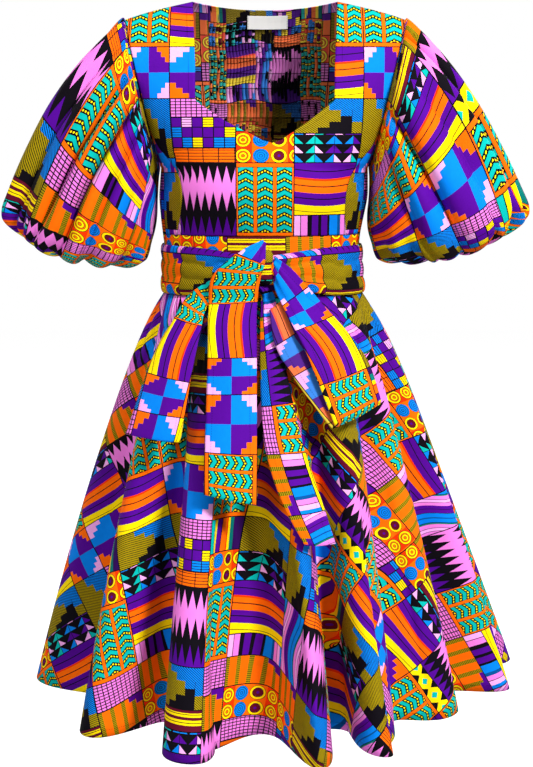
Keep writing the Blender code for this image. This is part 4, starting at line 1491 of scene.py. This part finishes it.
@dataclass(frozen=True)
class Skirt:
    """Full skirt, smooth at the waist seam and fluted at the hem."""

    body: Body = field(default_factory=Body)
    spring: float = 0.09
    spring_length: float = 0.08
    half_width: float = 0.352
    half_depth: float = 0.350
    middle_x: float = 0.008
    crowding: float = 1.15
    columns: int = 300
    rows: int = 44
    swells: float = 0.015
    gathers: float = 0.0045
    pleats: float = 0.027

    def hem(self, samples: int = 40) -> list[Vector]:
        """Points round the hem on a smooth closed curve.

        Args:
            samples: Points from one corner to the next.

        Returns:
            The points in order.
        """
        corners = []
        for row in zip(*(FLUTES.columns[key] for key in FLUTES.columns)):
            crest_from, crest_to, crest, valley_from, valley_to, valley = row
            corners += [(crest_from, crest), (crest_to, crest)]
            corners += [(valley_from, valley), (valley_to, valley)]
        places = []
        for degrees, reach in corners:
            angle = math.radians(degrees)
            x = self.middle_x + self.half_width * reach * math.sin(angle)
            places.append(Vector((x, -self.half_depth * reach * math.cos(angle), HEM_Z)))
        curve = []
        for i in range(len(places)):
            near = [places[(i + k) % len(places)] for k in range(4)]
            for s in range(samples):
                t = s / samples
                inner = (3 * t ** 3 - 6 * t * t + 4, 1 + 3 * t + 3 * t * t - 3 * t ** 3)
                weights = ((1 - t) ** 3, *inner, t ** 3)
                point = Vector((0.0, 0.0, 0.0))
                for weight, place in zip(weights, near):
                    point += place * (weight / 6)
                curve.append(point)
        return curve

    def halves(self) -> tuple[list[Vector], list[Vector]]:
        """The hem split at the side seams, front run and back run.

        Returns:
            The front run and the back run.
        """
        curve = self.hem()
        behind = (i for i in range(len(curve)) if curve[i].x <= 0)
        left = min(behind, key=lambda i: abs(curve[i].y))
        turned = curve[left:] + curve[:left]
        ahead = (i for i in range(len(turned)) if turned[i].x >= 0.1)
        right = min(ahead, key=lambda i: abs(turned[i].y))
        return turned[:right + 1], turned[right:] + turned[:1]

    def evenly(self, run: list[Vector], count: int) -> tuple[list[Vector], float]:
        """Evenly spaced points along a run, and its length.

        Args:
            run: Points in order.
            count: Number of steps.

        Returns:
            The points, and the length.
        """
        lengths = [0.0]
        for a, b in zip(run, run[1:]):
            lengths.append(lengths[-1] + (b - a).length)
        found = []
        step = 0
        for k in range(count + 1):
            want = lengths[-1] * k / count
            while step < len(run) - 2 and lengths[step + 1] < want:
                step += 1
            share = (want - lengths[step]) / (lengths[step + 1] - lengths[step])
            found.append(run[step].lerp(run[step + 1], share))
        return found, lengths[-1]

    def spread(self, down: float) -> float:
        """Share of the hem's reach at a share of the way down."""
        return down + self.spring * (1 - math.exp(-down / self.spring_length)) * (1 - down ** 3)

    def ripple(self, u: float, v: float, point: Vector) -> float:
        """Small uneven swells between the flutes, none at the seams.

        Args:
            u: Share across.
            v: Share up.
            point: Place on the worn cloth; not used.

        Returns:
            How far the cloth moves out.
        """
        down = 1 - v
        swing = 47 * u + 2.6 * math.sin(7.3 * u + 0.8) + 1.1 * down
        crease = furrow(swing / 2, 0.55)
        wide = self.swells * bell(down, 0.48, 0.34) * crease * (0.55 + 0.45 * math.sin(13 * u + 2.2))
        near = self.gathers * bell(down, 0.12, 0.12) * furrow(58 * u + math.sin(17 * u), 0.6)
        fall = 57 * u + 3.2 * math.sin(5.1 * u + 2.0) - 1.6 * down
        pleat = furrow(fall / 2, 0.75)
        lower = self.pleats * bell(down, 0.88, 0.34) * pleat * (0.60 + 0.40 * math.sin(19 * u + 0.6))
        return min(wide + near + lower, 0.0) * min(1.0, 14 * down)

    def build(self, finishes: "Finishes") -> None:
        """Make the front and the back of the skirt.

        Args:
            finishes: Finishes of the dress.
        """
        front, back = self.halves()
        aims = {"front": 0.36, "back": 0.5}
        for name, run, start in (("front", front, -90.0), ("back", back, 90.0)):
            hem, hem_length = self.evenly(run, self.columns)
            turns = [start + 180.0 * i / self.columns for i in range(self.columns + 1)]
            waist = [self.body.ring(turn, SKIRT_SEAM_Z) for turn in turns]
            waist_length = sum((b - a).length for a, b in zip(waist, waist[1:]))
            slant = sum((b - a).length for a, b in zip(waist, hem)) / len(hem)
            sector = (hem_length - waist_length) / slant
            radius = waist_length / sector

            def place(u: float, v: float, hem: list = hem, waist: list = waist) -> Vector:
                """Point of this half of the skirt.

                Args:
                    u: Share across.
                    v: Share up.
                    hem: Points of the hem.
                    waist: Points of the waist seam.

                Returns:
                    The point.
                """
                at = u * self.columns
                i = min(int(at), self.columns - 1)
                low = hem[i].lerp(hem[i + 1], at - i)
                high = waist[i].lerp(waist[i + 1], at - i)
                down = (1 - v) ** self.crowding
                point = high.lerp(low, self.spread(down))
                point.z = mix(SKIRT_SEAM_Z, HEM_Z, down)
                return point

            def flat(
                u: float, v: float, sector: float = sector, radius: float = radius,
                slant: float = slant, aim: float = aims[name],
            ) -> tuple[float, float]:
                """Place on the flat sector.

                Args:
                    u: Share across.
                    v: Share up.
                    sector: Angle of the whole cut.
                    radius: Radius of its waist.
                    slant: Length down the cut.
                    aim: Share at which its middle lies.

                Returns:
                    Its place across and up.
                """
                reach = radius + slant * (1 - v) ** self.crowding
                angle = sector * (u - aim)
                return reach * math.sin(angle), radius - reach * math.cos(angle)

            piece = ClothPiece(
                f"skirt_{name}", place, self.columns, self.rows, "skirt", "gathered",
                flat=flat, relief=self.ripple,
                edges=(Edge.SEAM, Edge.SEAM, Edge.HEM, Edge.SEAM),
            )
            piece.build(*finishes.skirt)
            turn = math.degrees(sector)
            LOG.info("skirt %s: hem %.2f m round, sector %.0f degrees", name, hem_length, turn)


@dataclass(frozen=True)
class PuffSleeve:
    """Puff sleeve, gathered at the head and at the edge."""

    name: str
    side: float
    phase: float
    body: Body = field(default_factory=Body)
    armhole_gap: float = 0.0003
    shift: float = 0.002
    right_drop: float = 0.008
    slant: float = 0.16
    shiver: float = 0.09
    head_gathers: int = 10
    long_folds: int = 7
    hem_lumps: int = 10
    flat_round: float = 0.66
    head_gather: float = 0.0016
    edge_gather: float = 0.0022
    valley_depth: float = 0.0440
    tuck_depth: float = 0.0260
    draw_in: float = 0.030
    notch: float = 0.0220

    def ring_point(self, u: float, v: float) -> Vector:
        """Point round from the shoulder over the front, and down from the armhole.

        Args:
            u: Share across.
            v: Share up.

        Returns:
            The point.
        """
        down = 1 - v
        angle = math.tau * u
        value = {key: SLEEVE_RINGS.smooth(key, down) for key in SLEEVE_RINGS.columns}
        drop = self.right_drop * down * down if self.side < 0 else 0.0
        outer = Vector((value["out_x"] + self.side * self.shift * down, 0.0, value["out_z"] - drop))
        beside = self.side * self.body.at("mid", value["in_z"])
        inner = Vector((value["in_x"] + beside, 0.0, value["in_z"] - drop))
        middle, reach = (outer + inner) / 2, (outer - inner) / 2
        depth = value["front"] if math.sin(angle) >= 0 else value["back"]
        uneven = angle + self.slant * math.sin(2 * angle + self.phase)
        uneven += self.shiver * math.sin(5 * angle + 2 * self.phase)
        upper = 0.5 + 0.5 * math.cos(angle)
        swell = value["head"] * upper * math.cos(self.head_gathers * uneven)
        turn = self.long_folds * uneven + 1.2 * self.phase + 1.6 * down
        swell += value["folds"] * (0.15 + 0.85 * upper) * math.cos(turn)
        swell += value["lumps"] * math.cos(self.hem_lumps * uneven + self.phase)
        swell += self.fine(angle, down, upper)
        grow = 1.0 + swell / max(reach.length, 0.05)
        drawn = self.draw_in * bell(down, 0.35, 0.40) * math.sin(self.swing(angle, down))
        angle -= drawn * self.open_side(angle)
        across = reach * (math.cos(angle) * grow)
        fall = value["sag"] * math.sin(angle) ** 2 + self.notch * self.tuck(angle, down)
        sag = Vector((reach.z, 0.0, -reach.x)).normalized()
        sag = sag * (fall if sag.z < 0 else -fall)
        point = middle + across + sag + Vector((0.0, -depth * math.sin(angle) * grow, 0.0))
        outward = Vector((0.973, 0.0, -0.229)) * self.armhole_gap
        return Vector((self.side * (point.x + outward.x), point.y, point.z + outward.z))

    def fine(self, angle: float, down: float, upper: float) -> float:
        """Gathers at the head and the edge, and drawn valleys between full folds.

        Args:
            angle: Turn round the sleeve.
            down: Share of the way down.
            upper: 1 on top of the sleeve and 0 below it.

        Returns:
            How far the cloth moves out.
        """
        many = math.cos(31 * angle + 2.0 * math.sin(3 * angle))
        head = self.head_gather * bell(down, 0.06, 0.05) * upper * many
        some = math.cos(26 * angle + 1.6 * math.sin(4 * angle))
        edge = self.edge_gather * bell(down, 0.94, 0.07) * some
        valley = furrow(self.swing(angle, down) / 2, 0.80)
        turn = 7 * angle + 1.7 * math.sin(2 * angle) + 2.0 * down + 1.3 * self.phase
        wide = 0.5 + 0.5 * math.sin(turn)
        spread = bell(down, 0.32, 0.36) * (0.25 + 0.75 * wide)
        folds = self.valley_depth * valley * spread * self.open_side(angle)
        return head + edge + folds + self.tuck_depth * self.tuck(angle, down)

    def swing(self, angle: float, down: float) -> float:
        """Turn of the long folds, which lean and vary in width."""
        return 15 * angle + 2.6 * math.sin(2 * angle + self.phase) + 3.4 * down + self.phase

    def open_side(self, angle: float) -> float:
        """Share of the fold depth that is free of the bodice, from 0 beside it to 1."""
        return clip((math.cos(angle) + 0.85) / 0.7)

    def tuck(self, angle: float, down: float) -> float:
        """Uneven tucks that the gathered lower edge draws in, from -1 to 0.

        Args:
            angle: Turn round the sleeve.
            down: Share of the way down.

        Returns:
            The depth.
        """
        lower = 17 * angle + 2.4 * math.sin(3 * angle - self.phase) - 1.5 * down
        drawn = furrow(lower / 2, 0.75)
        uneven = 0.65 + 0.35 * math.sin(2 * angle + self.phase)
        return drawn * self.open_side(angle) * bell(down, 0.86, 0.20) * uneven

    def build(self, finishes: "Finishes") -> None:
        """Make the sleeve.

        Args:
            finishes: Finishes of the dress.
        """

        def away(point: Vector) -> Vector:
            """Direction out from the middle of the sleeve."""
            middle = Vector((self.side * 0.245, 0.0, -0.215))
            return (point - middle).normalized()

        def flat(u: float, v: float) -> tuple[float, float]:
            """Place on the flat sleeve."""
            return -self.side * (u - 0.25) * self.flat_round, v * 0.40

        piece = ClothPiece(
            self.name, self.ring_point, 300, 84, "sleeve", "gathered",
            flat=flat, closed=True, outward=away,
            edges=(Edge.PLAIN, Edge.PLAIN, Edge.HEM, Edge.SEAM),
        )
        piece.build(*(finishes.sleeve_left if self.side > 0 else finishes.sleeve_right))


@dataclass(frozen=True)
class Sash:
    """Sash round the waist and its bow."""

    body: Body = field(default_factory=Body)
    top_z: float = -0.341
    low_z: float = -0.4105
    knot_top_z: float = -0.352
    knot_low_z: float = -0.392
    start_deg: float = -1.0
    end_deg: float = 356.0
    pinch_deg: float = 26.0
    fold: float = 0.0028
    folds: int = 3
    crease: float = 0.0011
    stand_off: float = 0.0029

    def near(self, u: float) -> float:
        """How near to the knot a place round the waist lies, from 0 to 1."""
        degrees = mix(self.start_deg, self.end_deg, u)
        return bell(min(abs(degrees), 360.0 - degrees), 0.0, self.pinch_deg)

    def point(self, u: float, v: float) -> Vector:
        """Point of the sash: round the waist, and up its width.

        Args:
            u: Share across.
            v: Share up.

        Returns:
            The point.
        """
        near = self.near(u)
        low, high = mix(self.low_z, self.knot_low_z, near), mix(self.top_z, self.knot_top_z, near)
        degrees = mix(self.start_deg, self.end_deg, u)
        return self.body.ring(degrees, mix(low, high, v), self.stand_off)

    def drape(self, u: float, v: float, point: Vector) -> float:
        """Three soft folds along the sash, with drawn creases towards the knot.

        Args:
            u: Share across.
            v: Share up.
            point: Place on the worn cloth; not used.

        Returns:
            How far the cloth moves out.
        """
        wander = 0.05 * math.sin(9 * u * math.tau) + 0.03 * math.sin(23 * u * math.tau)
        fold = self.fold * abs(math.sin(math.pi * self.folds * (v + wander * v * (1 - v) * 4))) ** 0.6
        drawn = self.crease * self.near(u) * math.sin(math.tau * 5 * v + 14 * u)
        return max(fold + min(drawn, 0.0), -0.0006)

    def build(self, finishes: "Finishes") -> None:
        """Make the sash, the knot, the loops and the tails.

        Args:
            finishes: Finishes of the dress.
        """
        band = ClothPiece(
            "sash_belt", self.point, 260, 30, "sash", "stretched", relief=self.drape,
            edges=(Edge.PLAIN, Edge.PLAIN, Edge.HEM, Edge.HEM), rests_on=("waistband_front_cloth",),
        )
        band.build(*finishes.sash)
        for strip in (
            BowStrip("bow_loop_left", LOOP_LEFT, 96, self.body, (0.089, 0.226)),
            BowStrip("bow_loop_right", LOOP_RIGHT, 96, self.body, (0.394, 0.226), -1.0),
            BowStrip("bow_tail_centre", TAIL_CENTRE, 84, self.body, (0.101, 0.226)),
            BowStrip("bow_tail_right", TAIL_RIGHT, 84, self.body, (-0.055, 0.008)),
        ):
            strip.build(finishes)
        Knot().build(finishes)


@dataclass(frozen=True)
class BowStrip:
    """One strip of the bow, a loop or a tail, with its print laid along it."""

    node: str
    table: Table
    rows: int
    body: Body
    print_start: tuple[float, float]
    print_way: float = 1.0
    crown: float = 0.004
    wrap: float = 0.7
    side_crest: float = 1.08
    knot_crease: float = 0.0011
    wave: float = 0.0009

    def crest_depth(self, x: float, z: float) -> float:
        """Depth of the skirt's front crests at a height, less towards the sides.

        Args:
            x: Distance from the middle.
            z: Height.

        Returns:
            The depth.
        """
        skirt = Skirt()
        share = 0.0 if z >= SKIRT_SEAM_Z else skirt.spread((SKIRT_SEAM_Z - z) / (SKIRT_SEAM_Z - HEM_Z))
        reach = skirt.half_depth * max(FLUTES.columns["crest"])
        depth = mix(self.body.at("front", SKIRT_SEAM_Z), reach, share)
        half = mix(self.body.at("half", SKIRT_SEAM_Z), skirt.half_width * self.side_crest, share)
        aside = min(abs(x) / half, 0.9)
        return depth * (1 - self.wrap * (1 - math.sqrt(1 - aside * aside)))

    def point(self, u: float, v: float) -> Vector:
        """Point across the strip's width and along its stations.

        Args:
            u: Share across.
            v: Share up.

        Returns:
            The point.
        """
        left = Vector((self.table.smooth("lx", v), 0.0, self.table.smooth("lz", v)))
        right = Vector((self.table.smooth("rx", v), 0.0, self.table.smooth("rz", v)))
        point = left.lerp(right, u)
        crown = self.crown * math.sin(math.pi * u)
        lift = self.table.smooth("lift", v)
        point.y = -self.crest_depth(point.x, point.z) - lift - crown + CLOTH / 2
        return point

    def crease(self, u: float, v: float, point: Vector) -> float:
        """Creases drawn in at the knot, and a soft wave along the strip."""
        drawn = self.knot_crease * math.exp(-6.0 * v) * math.cos(math.tau * 3.0 * u + 5.0 * v)
        return drawn + self.wave * math.sin(9.0 * v + 4.0 * u) * math.sin(math.pi * u)

    def spots(self) -> list[tuple[float, float]]:
        """Length from the knot and width, at each row of the strip.

        Returns:
            The length and the width at each row.
        """
        found, length, before = [], 0.0, None
        for j in range(self.rows + 1):
            left, middle, right = (self.point(u, j / self.rows) for u in (0.0, 0.5, 1.0))
            length += (middle - before).length if before is not None else 0.0
            before = middle
            found.append((length, (middle - left).length + (right - middle).length))
        return found

    def build(self, finishes: "Finishes") -> None:
        """Make the strip.

        Args:
            finishes: Finishes of the dress.
        """
        spots = self.spots()

        def flat(u: float, v: float) -> tuple[float, float]:
            """Place on the flat strip.

            Args:
                u: Share across.
                v: Share up.

            Returns:
                Its place across and up.
            """
            length, wide = spots[round(v * self.rows)]
            start_x, start_y = self.print_start
            return start_x + self.print_way * length, start_y + self.print_way * (u - 0.5) * wide

        piece = ClothPiece(
            self.node, self.point, 20, self.rows, "sash", "hung",
            relief=self.crease, outward=lambda point: Vector((0.0, -1.0, 0.0)), flat=flat,
            edges=(Edge.HEM, Edge.HEM, Edge.HEM, Edge.PLAIN),
        )
        piece.build(*finishes.strip)


@dataclass(frozen=True)
class Knot:
    """Knot of the sash, a bunched wrap of cloth."""

    half: tuple[float, float, float] = (0.022, 0.0125, 0.026)
    middle: tuple[float, float, float] = (-0.0095, -0.1215, -0.367)
    back_y: float = -0.1092
    print_scale: tuple[float, float] = (1.3, 1.2)

    def build(self, finishes: "Finishes") -> None:
        """Make the knot with creases that run round it.

        Args:
            finishes: Finishes of the dress.
        """
        shape = bmesh.new()
        shape.loops.layers.uv.new("flat")
        edges = [shape.verts.layers.float.new(name) for name in ("seam", "hem")]
        bmesh.ops.create_uvsphere(shape, u_segments=64, v_segments=40, radius=1.0)
        spots = {}
        for vert in shape.verts:
            x, y, z = vert.co
            pinch = 1.0 - 0.18 * math.cos(4 * math.atan2(x, z)) * (x * x + z * z)
            crease = 1.0 + 0.05 * math.sin(11 * z + 5 * x) * (1 - abs(z))
            wide, deep, tall = self.half
            place = Vector((x * wide * pinch, y * deep * crease, z * tall * pinch))
            vert.co = place + Vector(self.middle)
            vert.co.y = min(vert.co.y, self.back_y)
            spots[vert] = (vert.co.x * self.print_scale[0], vert.co.z * self.print_scale[1])
            for edge in edges:
                vert[edge] = FAR
        lay_flat(shape, spots)
        mesh = mesh_of(shape, "bow_knot_cloth")
        mesh.shade_smooth()
        made = into_scene("bow_knot_cloth", mesh)
        mesh.materials.append(finishes.sash[0])
        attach(made, "root")
        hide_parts("bow_knot")
        LOG.info("bow_knot_cloth made")


@dataclass(frozen=True)
class Finishes:
    """The dress's materials, each as a face and a wrong side darkened with painted shade."""

    bodice: tuple
    flank: tuple
    smocked: tuple
    band: tuple
    skirt: tuple
    sleeve_left: tuple
    sleeve_right: tuple
    sash: tuple
    strip: tuple

    @staticmethod
    def mixed() -> "Finishes":
        """Build the shared groups once and every material from them.

        Returns:
            The finishes.
        """
        chart, face = WaxPrint().group(), CottonFace().group()

        def pair(name: str, *shift: float, elastic: bool = False) -> tuple:
            """Finish of the face, and of the wrong side, which is darkened with painted shade.

            Args:
                name: Name to give it.
                *shift: Shift of the print across and up.
                elastic: Whether the black thread shows.

            Returns:
                Both materials.
            """
            outer = PrintedCotton(f"print_{name}", chart, face, shift, elastic=elastic)
            # Wrong side: darkened to 0.72 as painted shade for the dress's shaded inside, and a little less
            # saturated.
            inner = replace(outer, name=f"print_{name}_shaded_wrong_side", shade=0.72, saturation=0.94)
            return outer.material(), inner.material()

        return Finishes(
            bodice=pair("bodice", 0.169, 0.0),
            flank=pair("flank", 0.05, 0.10),
            smocked=pair("smocked", 0.03, 0.17, elastic=True),
            band=pair("band", 0.10, 0.30),
            skirt=pair("skirt", 0.12, 0.05),
            sleeve_left=pair("sleeve_left", 0.06, 0.02),
            sleeve_right=pair("sleeve_right", 0.20, 0.21),
            sash=pair("sash", 0.644, 0.378),
            strip=pair("strip", 0.0, 0.0),
        )


@dataclass(frozen=True)
class NeckLabel:
    """Blank woven label, sewn inside the back neck."""

    roughness: float = 0.42
    thread: float = 0.0006
    middle_x: float = 0.0035
    stitch_at: float = 0.0278
    stitch_length: float = 0.0022
    tone: tuple[float, float, float] = (1.0, 0.99, 0.96)
    relief: tuple[float, float] = (0.25, 0.0003)

    def build(self) -> None:
        """Give the label's own solid a satin finish with woven rows and end stitches."""
        finish = blank_finish("label_satin", self.roughness)
        tree = finish.node_tree
        x, _, z = body_place(tree)
        rows = (z / self.thread).wave()
        ends = (x - self.middle_x).size().above(self.stitch_at)
        stitch = ends * z.ruled(self.stitch_length, 0.55)
        tint = rows * 0.05 + 0.78
        tint = tint * (stitch * -0.45 + 1.0)
        shades = {slot: tint * part for slot, part in enumerate(self.tone)}
        join = add_node(tree, "CombineColor", shades)
        tree.links.new(join.outputs[0], tree.nodes["Principled BSDF"].inputs["Base Color"])
        emboss(tree, rows + stitch, *self.relief)
        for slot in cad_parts["neck_label"].material_slots:
            slot.material = finish
        LOG.info("neck_label dressed")


@dataclass(frozen=True)
class Studio:
    """Camera, floor and soft light."""

    camera_at: tuple[float, float, float] = (0.002, -2.4, -0.2)
    tilt_deg: float = 8.22
    focal_px: float = 1650.0
    long_side_px: float = 767.0
    sensor: float = 36.0
    floor_z: float = -1.25
    ambient: float = 0.15
    floor_glow: float = 0.90
    floor_half: float = 7.0
    floor_grey: float = 0.42
    aim: tuple[float, float, float] = (0.0, 0.0, -0.5)
    lamps: tuple[tuple[str, tuple[float, float, float], float, float], ...] = (
        ("key", (1.7, -2.3, 1.5), 0.6, 158.0),
        ("fill", (-2.1, -2.3, 0.6), 1.2, 34.0),
        ("top", (0.1, -0.6, 2.2), 1.0, 30.0),
        ("rim_left", (-2.2, 1.6, 0.8), 1.6, 36.0),
        ("rim_right", (2.2, 1.6, 0.8), 1.6, 36.0),
    )

    def build(self) -> None:
        """Set the camera, the floor and the lights."""
        lens = bpy.data.cameras.new("view")
        lens.sensor_width = self.sensor
        lens.lens = self.focal_px * self.sensor / self.long_side_px
        lens.clip_end = 50.0
        camera = into_scene("view", lens)
        camera.location = self.camera_at
        camera.rotation_euler = (math.radians(90.0 - self.tilt_deg), 0.0, 0.0)
        bpy.context.scene.camera = camera
        self.floor()
        for lamp in self.lamps:
            self.light(*lamp)
        world = bpy.data.worlds.new("studio")
        world.use_nodes = True
        background = world.node_tree.nodes["Background"]
        background.inputs["Color"].default_value = (1.0, 1.0, 1.0, 1.0)
        seen = add_node(world.node_tree, "LightPath")
        strength = Ink(world.node_tree, seen.outputs["Is Camera Ray"])
        strength = strength.math("MULTIPLY_ADD", 1.0 - self.ambient, self.ambient)
        world.node_tree.links.new(strength.socket, background.inputs["Strength"])
        bpy.context.scene.world = world
        bpy.context.scene.view_settings.view_transform = "Standard"

    def floor(self) -> None:
        """Lay the plain pale floor."""
        shape = bmesh.new()
        bmesh.ops.create_grid(shape, x_segments=2, y_segments=2, size=self.floor_half)
        bmesh.ops.translate(shape, verts=shape.verts, vec=(0.0, 0.0, self.floor_z))
        mesh = mesh_of(shape, "floor")
        paper = blank_finish("floor_paper", 0.9)
        shader = paper.node_tree.nodes["Principled BSDF"]
        shader.inputs["Base Color"].default_value = (self.floor_grey,) * 3 + (1.0,)
        shader.inputs["Emission Color"].default_value = (1.0, 1.0, 1.0, 1.0)
        seen = add_node(paper.node_tree, "LightPath")
        glow = Ink(paper.node_tree, seen.outputs["Is Camera Ray"]) * self.floor_glow
        paper.node_tree.links.new(glow.socket, shader.inputs["Emission Strength"])
        mesh.materials.append(paper)
        into_scene("floor", mesh)

    def light(self, name: str, at: tuple[float, float, float], size: float, power: float) -> None:
        """Hang one soft light that faces the dress.

        Args:
            name: Name of the light.
            at: Its place.
            size: Side of its square face.
            power: Its power in watts.
        """
        lamp = bpy.data.lights.new(name, "AREA")
        lamp.size = size
        lamp.energy = power
        made = into_scene(name, lamp)
        made.location = at
        made.rotation_euler = (Vector(self.aim) - Vector(at)).to_track_quat("-Z", "Y").to_euler()


def main() -> None:
    """Build the dress's looks in order."""
    logging.basicConfig(level=logging.INFO, format="%(message)s")
    Studio().build()
    finishes = Finishes.mixed()
    FrontBodice().build(finishes)
    SmockedBack().build(finishes)
    Waist().build(finishes)
    Skirt().build(finishes)
    PuffSleeve("sleeve_left", 1.0, 0.7).build(finishes)
    PuffSleeve("sleeve_right", -1.0, 2.1).build(finishes)
    Sash().build(finishes)
    NeckLabel().build()
    bpy.context.view_layer.update()


if __name__ == "__main__":
    main()
